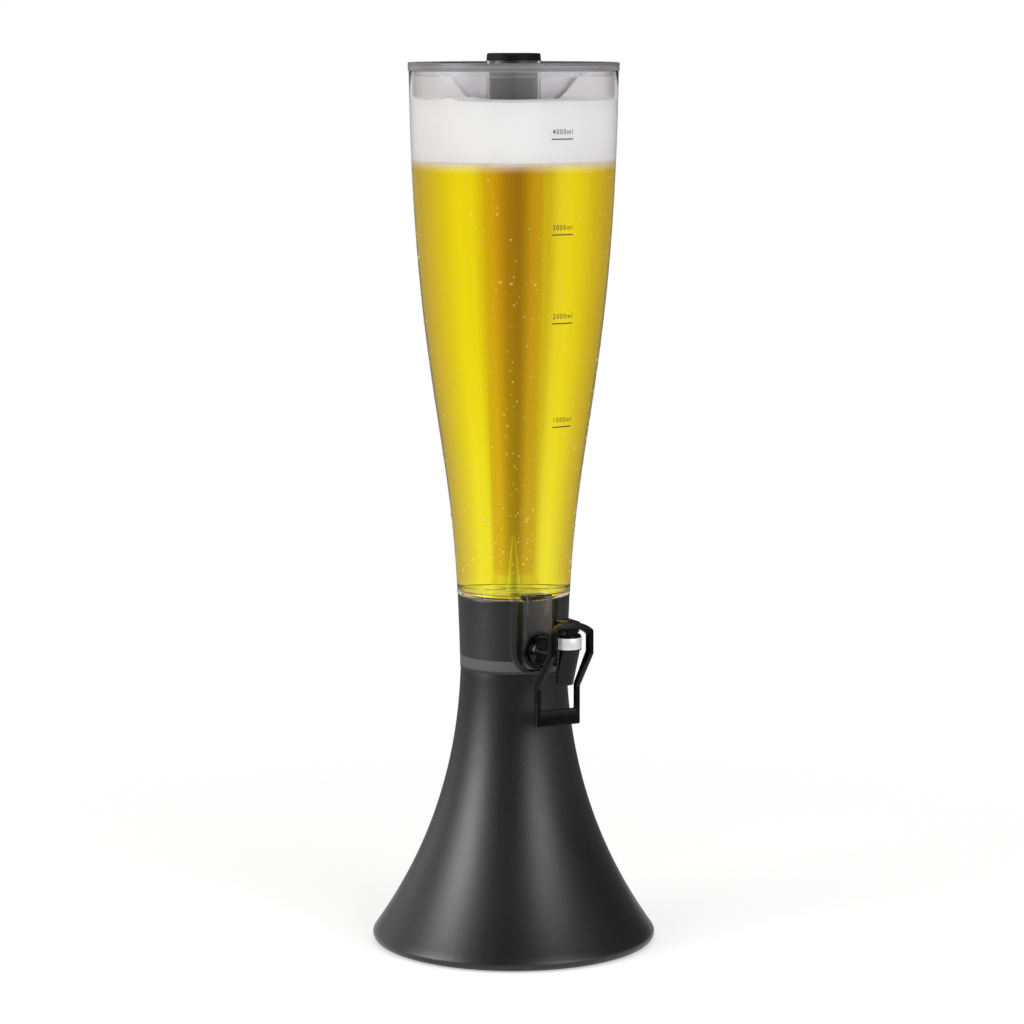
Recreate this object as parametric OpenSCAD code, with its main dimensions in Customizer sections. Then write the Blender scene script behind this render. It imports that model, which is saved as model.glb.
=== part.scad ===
// Beer tower dispenser: a flared base and collar, a clear vessel with an ice tube, and a
// push-lever tap. Millimetres. The origin is the centre of the base on the floor, +Z is up
// and the tap points along -Y. A size named "reach" is measured from the tower's axis along -Y.

/* [Base] */
// Height of the base shell's outer wall above the floor
base_h = 211.6; // [195:0.1:230]
// Radius of the base shell at its neck
neck_r = 40.5; // [38.5:0.1:42]
// Radius where the flare turns over into the foot
flare_r = 107.5; // [98:0.5:118]
// Height of that turn above the floor
flare_z = 7.7; // [6.5:0.1:10]
// Upright reach of the flare's curve below the neck
neck_pull = 73.6; // [55:0.1:85]
// Upright reach of the flare's curve above the foot
foot_pull = 63.3; // [50:0.1:75]
// Wall of the base shell
base_wall = 3; // [2:0.1:4]
// Thickness of the deck that closes the base shell's top
deck_t = 3.6; // [2.5:0.1:5]
// Thickness of the cover under the base
cover_t = 2.4; // [2:0.1:3.5]
// Radius of a rubber foot pad
pad_r = 8; // [5:0.5:10]
// Number of foot pads
pad_count = 6; // [3:1:8]
// Height that the foot pads hold the cover off the floor
pad_stand = 1; // [0.5:0.1:2]

/* [Collar] */
// Height of the collar between the base and the vessel
collar_h = 56; // [50:0.5:66]
// Wall of the collar
collar_wall = 2.6; // [2:0.1:3.2]
// Thickness of the collar's floor
collar_floor = 3; // [2:0.1:4]
// Width of the slot that the tap drops into
slot_w = 34; // [32:0.5:38]
// Height of collar left under the slot
slot_sill = 1; // [0.6:0.1:3]
// Width of the raised rim round the slot
slot_rim = 3.6; // [2:0.1:5]
// Height of that rim above the collar's surface
rim_proud = 0.7; // [0.4:0.1:1.2]

/* [Vessel] */
// Height of the vessel's wall, from its bottom to its mouth
vessel_h = 389.8; // [340:0.1:430]
// Outer radius of the vessel at its bottom
vessel_foot_r = 43; // [42:0.1:46]
// Outer radius of the vessel at its mouth
mouth_r = 78.3; // [72:0.1:84]
// Upright reach of the wall's curve above the bottom
vessel_low_pull = 120.7; // [100:0.1:140]
// Upright reach of the wall's curve below the mouth
vessel_top_pull = 221.1; // [190:0.1:240]
// Wall of the vessel
vessel_wall = 2.4; // [1.8:0.1:3]
// Height of the vessel bottom's rim
vessel_rim = 4.4; // [3.5:0.1:6]
// Height of the spike that centres the ice tube
spike_h = 42; // [30:0.5:50]
// Radius of that spike at the vessel's floor
spike_r = 4.2; // [3:0.1:5]

/* [Sump] */
// Wall of the sump that carries the tap
sump_wall = 2.5; // [2:0.1:3]
// Depth of the sump, front to back
sump_depth = 28; // [25:0.5:31]
// Distance that the sump's face stands proud of the collar
sump_proud = 0.8; // [0.4:0.1:2]

/* [Lid and ice tube] */
// Height of the lid's rim
lid_rim = 6; // [4.5:0.1:7.5]
// Overhang of the lid past the vessel's mouth
lid_overhang = 0.7; // [0.4:0.1:2]
// Wall of the lid
lid_wall = 2.2; // [1.6:0.1:2.8]
// Depth of the locating skirt inside the mouth
skirt_h = 4; // [3:0.1:7]
// Radius of the funnel's mouth in the lid
funnel_r = 60; // [50:0.5:64]
// Depth of the funnel, from the lid's top to the tube's seat
funnel_drop = 32.2; // [27:0.1:36]
// Outer radius of the ice tube's neck
tube_r = 20.5; // [18:0.1:22]
// Outer radius of the ice tube at its bottom
tube_foot_r = 13.5; // [11.5:0.1:16]
// Wall of the ice tube
tube_wall = 1.8; // [1.2:0.1:2.2]
// Height that the ice tube's neck stands above the lid
tube_stand = 1.4; // [0.8:0.1:3]
// Gap between the ice tube's bottom and the vessel's floor
tube_gap = 7.6; // [5:0.1:12]
// Height of the cap's head
cap_h = 5.4; // [4.8:0.1:9]
// Length of the cap's plug inside the ice tube
plug_h = 34; // [26:0.5:38]
// Wall of the cap
cap_wall = 2.6; // [2.2:0.1:3.2]

/* [Tap body] */
// Reach of the tap's upright axis
tap_reach = 88.6; // [82:0.1:96]
// Outer diameter of the tap's gasket against the sump
gasket_d = 28.2; // [26:0.1:30]
// Thickness of each gasket
gasket_t = 1.8; // [1.2:0.1:2.4]
// Diameter of the threaded shank
shank_d = 13.8; // [12.5:0.1:15]
// Width across flats of the nut
nut_af = 18; // [17:0.1:19.5]
// Thickness of the nut
nut_h = 7; // [5:0.1:8]
// Diameter of the barrel between the flange and the upright housing
barrel_d = 14.8; // [13:0.1:17]
// Diameter of the upright housing
housing_d = 20; // [18.5:0.1:22]
// Height of the housing's top above the shank's axis
housing_rise = 18.4; // [17.6:0.1:20]
// Height of the chromed band
band_h = 8.6; // [6:0.1:9.5]
// Thickness of the chromed band
band_t = 1; // [0.6:0.1:1.3]
// Angle that the band covers round the housing's front
band_sweep = 150; // [100:5:200]
// Diameter of the spout at its root
spout_root_d = 17.6; // [16.5:0.1:18.4]
// Diameter of the spout at its outlet
spout_end_d = 12.8; // [11.5:0.1:14]
// Drop of the spout's outlet below the shank's axis
spout_drop = 18.6; // [15:0.1:20]
// Lean of the spout towards the tower
spout_lean = 12; // [9:0.5:13]

/* [Valve] */
// Diameter of the valve stem
stem_d = 5; // [4.2:0.1:5.2]
// Lift of the stem with the lever fully pressed
valve_lift = 1.8; // [1.2:0.1:2]
// Wire of the stem's spring
spring_wire = 0.8; // [0.5:0.05:0.9]
// Turns of the stem's spring
spring_turns = 3; // [2.5:0.25:3.5]

/* [Lever] */
// Width of the lever across its arch
lever_w = 34.8; // [32:0.1:38]
// Width of the lever across its paddle
paddle_w = 36; // [34:0.1:40]
// Width of each of the lever's legs
lever_leg = 3.2; // [2.6:0.1:4.5]
// Depth of the lever's arch, front to back
arch_depth = 6.5; // [5.5:0.1:8]
// Depth of the lever's lower legs and paddle
paddle_depth = 4.2; // [3.5:0.1:5.5]
// Reach of the arch's front face past the tap's upright axis
lever_lead = 7.4; // [7:0.1:8.5]
// Distance that the lower legs are set back towards the tower
lever_setback = 22.4; // [18:0.1:25]
// Height of the arch's underside above the lever's upper bend
upper_leg = 19.7; // [17:0.1:23]
// Height of the slanting part
slant_h = 28; // [24:0.1:33]
// Height of the lower legs, down to the paddle
lower_leg = 17; // [13:0.1:21]
// Height of the paddle
paddle_h = 11.6; // [8:0.1:15]
// Radius of the arch's crown
arch_r = 25.5; // [22:0.1:30]
// Thickness of the arch
arch_t = 5; // [3.6:0.1:5.6]
// Width of the web and the knuckle cover over the stem
hood_w = 13; // [12:0.1:15]
// Diameter of the lever's pin
pin_d = 2.2; // [1.8:0.1:2.6]

/* [Hidden] */
$fn = 96;

// Clearances
touch = 0.05;        // fixed pieces round each other
slide_gap = 0.3;     // pieces that lift out of each other
running_gap = 0.05;  // shafts in their bores
loose_gap = 0.5;     // locating ribs and skirts
edge = 0.6;          // broken edges
over = 1;            // cutters past the faces they cut

// Levels of the tower, from the floor up
cover_z = pad_stand;
foot_z = pad_stand - 0.2;
seam_gap = 0.4;
seat_z = base_h + seam_gap;
collar_top_z = seat_z + collar_h;
vessel_z = collar_top_z + vessel_rim;
mouth_z = vessel_z + vessel_h;
lid_top_z = mouth_z + lid_rim;
tube_top_z = lid_top_z + tube_stand;
cap_top_z = tube_top_z + cap_h;
tap_z = seat_z + slot_sill + slot_w / 2;

// Base
foot_tuck = 3.6;
foot_edge_r = flare_r - foot_tuck;
foot_bore_r = foot_edge_r - 1.5;
flare_slope = 0.7;
neck_lean = 0.03;
lip_pull = 3;
deck_land_r = neck_r - 0.9;
deck_hole_r = 19;
spigot_r = 23.8;
spigot_h = 1.8;
post_r = 4.6;
post_ring_r = flare_r - 19.5;
post_count = 4;
pad_ring_r = flare_r - 17.5;
pad_sink = 1.2;

// Screws
screw_r = 2;
pan_r = 3.9;
pan_h = 2.6;
cover_screw_l = 13;
collar_screw_l = 12;
screw_boss_r = 4.2;
screw_ring_r = 31;
screw_angles = [90, 210, 330];

// Collar
collar_foot_r = neck_r + 0.3;
collar_head_r = vessel_foot_r - 0.4;
collar_bow = 1.25;
collar_steps = 14;
collar_boss_h = 8;
slot_r = slot_w / 2;

// Vessel
mouth_lean = 2.87;
foot_lean = 5.56;
rim_round = 1.3;
rib_t = 1.6;
rib_h = 12;
rib_sweep = 24;
rib_angles = [30, 90, 150];
ring_h = 3.6;
seat_ring_t = 2;
spike_tip_r = 0.9;
vessel_floor_z = vessel_z;
vessel_floor_t = 2.4;

// Sump
nut_corner_r = nut_af / 2 / cos(30);
sump_in_w = nut_af + 1.4;
sump_w = sump_in_w + 2 * sump_wall;
sump_face = collar_r(tap_z - seat_z) + sump_proud;
sump_back = sump_face - sump_depth;
sump_in_z = tap_z - nut_corner_r - 1.2;
sump_z = sump_in_z - sump_wall;
sump_round = 3;
sump_in_round = 1;
shank_r = shank_d / 2;

// Lid and ice tube
lid_r = mouth_r + lid_overhang;
lid_round = 0.7;
skirt_r = mouth_r - vessel_wall - loose_gap;
tube_seat_z = lid_top_z - funnel_drop;
throat_r = tube_r + slide_gap;
throat_ring = 4.2;
throat_h = 5;
tube_flange_r = tube_r + 3.4;
tube_flange_h = 2;
tube_z = vessel_floor_z + tube_gap;
tube_round = 2;
spike_room = 0.6;
cap_r = tube_r;
cap_round = 2.6;
cap_taper = 0.7;
plug_r = tube_r - tube_wall - slide_gap;
seal_section = 2;
seal_bite = 0.2;
seal_z = tube_top_z - 8;

// Tap
gasket_r = gasket_d / 2;
barrel_r = barrel_d / 2;
housing_r = housing_d / 2;
flange_r = gasket_r - 0.9;
flange_t = 1.6;
ring_r = gasket_r - 3.6;
ring_t = 2.4;
neck_root_r = barrel_r + 1.6;
neck_l = 8;
wall_in = sump_face - sump_wall;
nut_face = wall_in - gasket_t;
nut_gasket_r = nut_af / 2 - 0.7;
shank_end = nut_face - nut_h - 2.4;
flange_face = sump_face + gasket_t;
housing_top_z = tap_z + housing_rise;
housing_h = band_h + 1.2;
housing_z = housing_top_z - housing_h;
band_z = housing_z + 0.8;
spout_root_z = housing_z + 0.2;
spout_end_z = tap_z - spout_drop;
spout_l = (spout_root_z - spout_end_z) / cos(spout_lean);
spout_wall = 1.6;
spout_past = 3;
spout_bore_r = 4;
solid_spout = 0.57;

// Valve, on the tap's upright axis
valve_r = 4.2;
inlet_r = 2.7;
seat_r = 2.6;
valve_z = tap_z - 3.5;
seat_fall = 1.8;
seat_slope = seat_fall / (valve_r - seat_r);
seat_hole_l = 2.4;
seal_r = 3.3;
seal_tip_r = 1.9;
seal_h = 3;
seal_edge_z = valve_z - seat_slope * (valve_r - seal_r) + slide_gap * norm([1, seat_slope]);
seal_pin_r = stem_d / 2 - 1;
spring_room_r = 5.6;
stem_collar_t = 1.2;
bonnet_thread_r = 6.6;
bonnet_thread_l = 6;
bonnet_t = 1.6;
bonnet_z = housing_top_z - bonnet_thread_l;
bonnet_top_z = housing_top_z + bonnet_t;
stem_r = stem_d / 2;
stem_collar_z = bonnet_z - spring_wire * (spring_turns + 1) - valve_lift - loose_gap - stem_collar_t;
spring_room_z = stem_collar_z - slide_gap;
stem_seal_r = 4.3;
stem_seal_t = 1.8;
spring_r = spring_room_r - 0.7 - spring_wire / 2;

// Lever
pin_r = pin_d / 2;
hood_t = 1.8;
hood_room = 1.2;
stem_room = 0.8;
hood_back = 10.6;
cheek_t = 2;
boss_wall = 1.5;
toe_h = 1.3;
pin_z = bonnet_top_z + 4.2;
toe_z = bonnet_top_z + slide_gap;
arch_top_z = pin_z + stem_r + hood_room + hood_t;
web_w = 8.4;
web_gap = 1.8;
leg_top_z = arch_top_z - arch_t;
upper_bend_z = leg_top_z - upper_leg;
lower_bend_z = upper_bend_z - slant_h;
paddle_top_z = lower_bend_z - lower_leg;
paddle_z = paddle_top_z - paddle_h;
arch_front = tap_reach + lever_lead;
paddle_front = arch_front - lever_setback;
arch_corner_r = 3.4;
paddle_corner_r = 1.2;

// Cubic curve through p[0] and p[3], pulled by p[1] and p[2]; all curves run upwards
function curve_at(p, t) =
    p[0] * pow(1 - t, 3) + 3 * p[1] * t * pow(1 - t, 2) + 3 * p[2] * t * t * (1 - t) + p[3] * pow(t, 3);
function heading(p, t) =
    (p[1] - p[0]) * pow(1 - t, 2) + 2 * (p[2] - p[1]) * t * (1 - t) + (p[3] - p[2]) * t * t;
function inward(v) = [-v.y, v.x] / norm(v);
function curve(p, depth = 0, n = 28) =
    [for (i = [0:n]) let (t = i / n) curve_at(p, t) + depth * inward(heading(p, t))];
function arc(centre, r, from, to, n) =
    [for (i = [0:n]) let (a = from + (to - from) * i / n) centre + r * [cos(a), sin(a)]];
function reversed(list) = [for (i = [len(list) - 1:-1:0]) list[i]];

// Outer radius of the collar at a height above its foot
function collar_r(h) =
    collar_foot_r + (collar_head_r - collar_foot_r) * pow(max(h, 0) / collar_h, collar_bow);

flare_curve = [
    [flare_r, flare_z],
    [flare_r - flare_slope * foot_pull, flare_z + foot_pull],
    [neck_r + neck_lean * neck_pull, base_h - neck_pull],
    [neck_r, base_h]
];
lip_curve = [
    [foot_edge_r, foot_z],
    [foot_edge_r + lip_pull, foot_z],
    [flare_r + flare_slope * lip_pull, flare_z - lip_pull],
    [flare_r, flare_z]
];
vessel_curve = [
    [vessel_foot_r, vessel_z],
    [vessel_foot_r + foot_lean, vessel_z + vessel_low_pull],
    [mouth_r - mouth_lean, mouth_z - vessel_top_pull],
    [mouth_r, mouth_z]
];

// A flat shape drawn in X and Z, filled from one reach to another
module facing(from, to) {
    translate([0, -from, 0])
        rotate([90, 0, 0])
            linear_extrude(to - from)
                children();
}

// A turned shape on the shank's axis; its profile is [radius, reach]
module turned_on_shank(profile) {
    translate([0, 0, tap_z])
        rotate([90, 0, 0])
            rotate_extrude()
                polygon(profile);
}

// Places its children on the tap's upright axis
module on_tap_axis(z) {
    translate([0, -tap_reach, z])
        children();
}

module tube(r_out, r_in, h) {
    difference() {
        cylinder(r = r_out, h = h);
        translate([0, 0, -over])
            cylinder(r = r_in, h = h + 2 * over);
    }
}

module rounded_rect(w, d, r) {
    square([w - 2 * r, d], center = true);
    square([w, d - 2 * r], center = true);
    for (x = [-1, 1], y = [-1, 1])
        translate([x * (w / 2 - r), y * (d / 2 - r)])
            circle(r = r);
}

module cross_recess(depth) {
    for (a = [0, 90])
        rotate([0, 0, a])
            translate([-2.2, -0.45, -over])
                cube([4.4, 0.9, depth + over]);
}

// ---- Base ----

module flare_solid() {
    rotate_extrude()
        polygon(concat([[0, foot_z]], curve(lip_curve, n = 8), curve(flare_curve), [[0, base_h]]));
}

module flare_hollow() {
    rotate_extrude()
        intersection() {
            polygon(concat(
                [[0, foot_z - over], [flare_r, foot_z - over]],
                curve(flare_curve, depth = base_wall),
                [[0, base_h + over]]
            ));
            translate([0, -over])
                square([foot_bore_r, seat_z - deck_t + over]);
        }
}

module post_places() {
    for (i = [0:post_count - 1])
        rotate([0, 0, (i + 0.5) * 360 / post_count])
            translate([post_ring_r, 0, 0])
                children();
}

module screw_places() {
    for (a = screw_angles)
        rotate([0, 0, a])
            translate([screw_ring_r, 0, 0])
                children();
}

module base_shell() {
    color([0.16, 0.16, 0.16])
    difference() {
        union() {
            difference() {
                flare_solid();
                flare_hollow();
            }
            translate([0, 0, seat_z - deck_t])
                cylinder(r = deck_land_r, h = deck_t);
            translate([0, 0, seat_z])
                cylinder(r = spigot_r - loose_gap, h = spigot_h);
            intersection() {
                flare_solid();
                post_places()
                    translate([0, 0, cover_z + cover_t])
                        cylinder(r = post_r, h = base_h / 3);
            }
        }
        translate([0, 0, seat_z - deck_t - over])
            cylinder(r = deck_hole_r, h = deck_t + spigot_h + 2 * over);
        screw_places()
            translate([0, 0, seat_z - deck_t - over])
                cylinder(r = screw_r + touch, h = deck_t + 2 * over);
        post_places()
            translate([0, 0, cover_z + cover_t - over])
                cylinder(r = screw_r + touch, h = cover_screw_l + over);
    }
}

module base_cover() {
    color([0.12, 0.12, 0.12])
    difference() {
        union() {
            translate([0, 0, cover_z])
                cylinder(r = foot_bore_r - slide_gap, h = cover_t);
            translate([0, 0, cover_z + cover_t])
                tube(foot_bore_r - 2, foot_bore_r - 4, 3);
        }
        post_places()
            translate([0, 0, cover_z - over]) {
                cylinder(r = screw_r + touch, h = cover_t + 2 * over);
                cylinder(r = pan_r + touch, h = over + cover_t / 2);
            }
        pad_places()
            translate([0, 0, cover_z - over])
                cylinder(r = pad_r + touch, h = pad_sink + over);
    }
}

module cover_screws() {
    color("silver")
    post_places()
        translate([0, 0, cover_z + cover_t / 2])
            difference() {
                union() {
                    translate([0, 0, -cover_t / 3])
                        cylinder(r = pan_r, h = cover_t / 3);
                    cylinder(r = screw_r, h = cover_screw_l);
                }
                translate([0, 0, -cover_t / 3])
                    cross_recess(cover_t / 4);
            }
}

module pad_places() {
    for (i = [0:pad_count - 1])
        rotate([0, 0, i * 360 / pad_count])
            translate([pad_ring_r, 0, 0])
                children();
}

module foot_pads() {
    color([0.05, 0.05, 0.05])
    pad_places()
        cylinder(r = pad_r, h = cover_z + pad_sink);
}

// ---- Collar ----

// The collar's outline, moved out by grow
function collar_line(grow) =
    [for (i = [0:collar_steps]) let (h = collar_h * i / collar_steps) [collar_r(h) + grow, seat_z + h]];

module collar_wall_solid(proud) {
    rotate_extrude()
        polygon(concat(collar_line(proud), reversed(collar_line(-collar_wall))));
}

// The slot seen from the front, widened by grow
module slot_shape(grow) {
    translate([0, tap_z])
        circle(r = slot_r + grow);
    translate([-slot_r - grow, tap_z])
        square([2 * (slot_r + grow), collar_h]);
}

module collar() {
    color([0.17, 0.17, 0.17])
    difference() {
        union() {
            difference() {
                union() {
                    collar_wall_solid(0);
                    intersection() {
                        collar_wall_solid(rim_proud);
                        facing(sump_back, collar_head_r + 2 * over)
                            slot_shape(slot_rim);
                    }
                }
                facing(sump_back, collar_head_r + 3 * over)
                    slot_shape(0);
            }
            difference() {
                translate([0, 0, seat_z])
                    cylinder(r = collar_foot_r - collar_wall / 2, h = collar_floor);
                translate([-sump_w / 2 - over, -sump_face, seat_z + spigot_h])
                    cube([sump_w + 2 * over, sump_depth + over, collar_floor]);
            }
            screw_places()
                translate([0, 0, seat_z])
                    cylinder(r = screw_boss_r, h = collar_floor + collar_boss_h);
        }
        translate([0, 0, seat_z - over])
            cylinder(r = spigot_r, h = collar_floor + 2 * over);
        screw_places()
            translate([0, 0, seat_z - over])
                cylinder(r = screw_r + touch, h = collar_screw_l - deck_t + 1.5 + over);
    }
}

module collar_screws() {
    color("silver")
    screw_places()
        translate([0, 0, seat_z - deck_t - pan_h])
            difference() {
                union() {
                    cylinder(r = pan_r, h = pan_h);
                    cylinder(r = screw_r, h = pan_h + collar_screw_l);
                }
                cross_recess(pan_h / 2);
            }
}

// ---- Vessel ----

module vessel_body() {
    color([0.85, 0.88, 0.9, 0.35])
    rotate_extrude()
        difference() {
            polygon(concat(curve(vessel_curve), reversed(curve(vessel_curve, depth = vessel_wall))));
            translate([0, vessel_z - 2 * over])
                square([vessel_foot_r, 2 * over]);
            translate([0, mouth_z])
                square([mouth_r, 2 * over]);
        }
}

module spike() {
    rotate_extrude()
        polygon(concat(
            [[0, vessel_floor_z - vessel_floor_t / 2], [spike_r, vessel_floor_z - vessel_floor_t / 2],
             [spike_r, vessel_floor_z]],
            arc([0, vessel_floor_z + spike_h - spike_tip_r], spike_tip_r, 0, 90, 6)
        ));
}

module vessel_bottom() {
    rim_in = vessel_foot_r - vessel_wall - 0.8;
    ring_in = vessel_foot_r - vessel_wall - seat_ring_t;
    color([0.85, 0.88, 0.9, 0.35])
    difference() {
        union() {
            rotate_extrude()
                polygon(concat(
                    [[0, vessel_floor_z - vessel_floor_t], [rim_in, vessel_floor_z - vessel_floor_t],
                     [rim_in, collar_top_z]],
                    arc([vessel_foot_r - rim_round, collar_top_z + rim_round], rim_round, -90, 0, 6),
                    arc([vessel_foot_r - rim_round, vessel_z - rim_round], rim_round, 0, 90, 6),
                    [[vessel_foot_r - vessel_wall - touch, vessel_z],
                     [vessel_foot_r - vessel_wall - touch, vessel_z + ring_h], [ring_in, vessel_z + ring_h],
                     [ring_in, vessel_floor_z], [0, vessel_floor_z]]
                ));
            // Sump, its foot rounded to drop into the collar's slot
            intersection() {
                translate([0, -(sump_face + sump_back) / 2, sump_z])
                    linear_extrude(vessel_floor_z - vessel_floor_t / 2 - sump_z)
                        rounded_rect(sump_w, sump_depth, sump_round);
                facing(sump_back - over, sump_face + over)
                    slot_shape(-2 * slide_gap);
            }
            for (a = rib_angles)
                rotate([0, 0, a - rib_sweep / 2])
                    translate([0, 0, collar_top_z - rib_h])
                        rotate_extrude(angle = rib_sweep)
                            translate([collar_r(collar_h - rib_h) - collar_wall - loose_gap - rib_t, 0])
                                square([rib_t, rib_h + vessel_rim / 2]);
            spike();
        }
        translate([0, -(sump_face + sump_back) / 2, sump_in_z])
            linear_extrude(vessel_floor_z + ring_h + over - sump_in_z)
                rounded_rect(sump_in_w, sump_depth - 2 * sump_wall, sump_in_round);
        facing(wall_in - over, sump_face + over)
            translate([0, tap_z])
                circle(r = shank_r + touch * 2);
    }
}

// ---- Lid, ice tube and cap ----

module lid() {
    funnel_foot_r = throat_r + throat_ring;
    funnel_t = lid_wall * norm([1, funnel_drop / (funnel_r - funnel_foot_r)]);
    skirt_z = mouth_z - skirt_h;
    color([0.35, 0.35, 0.37, 0.5])
    rotate_extrude()
        polygon(concat(
            [[lid_r, mouth_z]],
            arc([lid_r - lid_round, lid_top_z - lid_round], lid_round, 0, 90, 6),
            [[funnel_r + edge, lid_top_z], [funnel_r - edge, lid_top_z - edge],
             [funnel_foot_r, tube_seat_z], [throat_r, tube_seat_z],
             [throat_r, tube_seat_z - throat_h], [throat_r + lid_wall, tube_seat_z - throat_h],
             [funnel_foot_r, tube_seat_z - funnel_t],
             [funnel_r, lid_top_z - funnel_t], [skirt_r - lid_wall, lid_top_z - lid_wall],
             [skirt_r - lid_wall, skirt_z], [skirt_r - edge, skirt_z],
             [skirt_r, skirt_z + edge], [skirt_r, mouth_z]]
        ));
}

module ice_tube() {
    foot_in_r = tube_foot_r - tube_wall;
    room_r = spike_r + spike_room;
    room_tip_r = spike_tip_r + spike_room;
    room_top_z = vessel_floor_z + spike_h + spike_room;
    color([0.9, 0.92, 0.94, 0.3])
    rotate_extrude()
        polygon(concat(
            [[0, room_top_z], [room_tip_r, room_top_z], [room_r, tube_z]],
            arc([tube_foot_r - tube_round, tube_z + tube_round], tube_round, -90, 0, 6),
            [[tube_r, tube_seat_z - throat_h], [tube_r, tube_seat_z], [tube_flange_r, tube_seat_z],
             [tube_flange_r, tube_seat_z + tube_flange_h], [tube_r, tube_seat_z + tube_flange_h],
             [tube_r, tube_top_z], [tube_r - tube_wall, tube_top_z],
             [tube_r - tube_wall, tube_seat_z - throat_h], [foot_in_r, tube_z + tube_wall],
             [room_r + tube_wall, tube_z + tube_wall],
             [room_tip_r + tube_wall, room_top_z + tube_wall], [0, room_top_z + tube_wall]]
        ));
}

module tube_cap() {
    color([0.08, 0.08, 0.09])
    rotate_extrude()
        difference() {
            polygon(concat(
                [[0, tube_top_z - plug_h], [plug_r - 1, tube_top_z - plug_h],
                 [plug_r, tube_top_z - plug_h + 1], [plug_r, tube_top_z], [cap_r, tube_top_z]],
                arc([cap_r - cap_taper - cap_round, cap_top_z - cap_round], cap_round, 8, 90, 8),
                [[0, cap_top_z]]
            ));
            translate([0, tube_top_z - plug_h - over])
                square([plug_r - cap_wall, plug_h + cap_h - cap_wall + over]);
            translate([plug_r - seal_section + seal_bite, seal_z - seal_section / 2 - touch])
                square([seal_section, seal_section + 2 * touch]);
        }
}

module cap_seal() {
    color([0.15, 0.15, 0.15])
    rotate_extrude()
        translate([plug_r - seal_section / 2 + seal_bite, seal_z])
            circle(r = seal_section / 2);
}

// ---- Tap ----

module spout_axis() {
    on_tap_axis(spout_root_z)
        rotate([spout_lean, 0, 0])
            children();
}

module spout_solid() {
    spread = (spout_root_d - spout_end_d) / 2 / spout_l * spout_past;
    intersection() {
        spout_axis()
            translate([0, 0, -spout_l - spout_past])
                cylinder(r1 = spout_end_d / 2 - spread, r2 = spout_root_d / 2 + spread,
                         h = spout_l + 2 * spout_past);
        translate([-housing_d, -tap_reach - housing_d, spout_end_z])
            cube([2 * housing_d, 2 * housing_d, spout_l + spout_past]);
    }
}

module tap_body() {
    barrel_end = tap_reach - 3;
    bore_top = spout_l * solid_spout;
    color([0.04, 0.04, 0.045])
    difference() {
        union() {
            turned_on_shank([
                [0, shank_end], [shank_r - 0.8, shank_end], [shank_r, shank_end + 0.8],
                [shank_r, flange_face], [flange_r - edge, flange_face], [flange_r, flange_face + edge],
                [flange_r, flange_face + flange_t - edge], [flange_r - edge, flange_face + flange_t],
                [ring_r, flange_face + flange_t], [ring_r, flange_face + flange_t + ring_t - 2 * edge],
                [ring_r - 2 * edge, flange_face + flange_t + ring_t],
                [neck_root_r, flange_face + flange_t + ring_t],
                [neck_root_r - 1.1, flange_face + flange_t + ring_t + neck_l / 3],
                [barrel_r, flange_face + flange_t + ring_t + neck_l],
                [barrel_r, barrel_end], [0, barrel_end]
            ]);
            on_tap_axis(housing_z)
                cylinder(r = housing_r, h = housing_h);
            spout_solid();
        }
        // Way in, through the shank to the valve chamber
        facing(shank_end - over, tap_reach)
            translate([0, tap_z])
                circle(r = inlet_r);
        // Valve chamber, its seat and the spring's room above it
        on_tap_axis(0)
            rotate_extrude()
                polygon([
                    [0, valve_z - seat_fall - seat_hole_l], [seat_r, valve_z - seat_fall - seat_hole_l],
                    [seat_r, valve_z - seat_fall], [valve_r, valve_z], [valve_r, spring_room_z],
                    [spring_room_r, spring_room_z], [spring_room_r, bonnet_z - loose_gap],
                    [bonnet_thread_r, bonnet_z - loose_gap], [bonnet_thread_r, housing_top_z + over],
                    [0, housing_top_z + over]
                ]);
        // Way out, down the leaning spout
        spout_axis()
            translate([0, 0, -spout_l - spout_past])
                cylinder(r1 = spout_end_d / 2 - spout_wall, r2 = spout_bore_r,
                         h = spout_l + spout_past - bore_top);
        // Seat of the chromed band
        on_tap_axis(band_z)
            rotate([0, 0, -90 - band_sweep / 2])
                rotate_extrude(angle = band_sweep)
                    translate([housing_r - band_t - touch, 0])
                        square([band_t + touch + over, band_h]);
    }
}

module tap_gasket() {
    color([0.03, 0.03, 0.03])
    turned_on_shank([
        [shank_r + touch, sump_face], [gasket_r - edge / 2, sump_face], [gasket_r, sump_face + edge / 2],
        [gasket_r, flange_face - edge / 2], [gasket_r - edge / 2, flange_face],
        [shank_r + touch, flange_face]
    ]);
}

module nut_gasket() {
    color([0.03, 0.03, 0.03])
    turned_on_shank([
        [shank_r + touch, nut_face], [nut_gasket_r, nut_face], [nut_gasket_r, wall_in],
        [shank_r + touch, wall_in]
    ]);
}

module tap_nut() {
    color([0.05, 0.05, 0.055])
    facing(nut_face - nut_h, nut_face)
        translate([0, tap_z])
            difference() {
                rotate([0, 0, 30])
                    circle(r = nut_corner_r, $fn = 6);
                circle(r = shank_r + touch);
            }
}

module chrome_band() {
    color([0.85, 0.85, 0.87])
    on_tap_axis(band_z)
        rotate([0, 0, -90 - band_sweep / 2])
            rotate_extrude(angle = band_sweep)
                translate([housing_r - band_t, 0])
                    square([band_t, band_h]);
}

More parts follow.
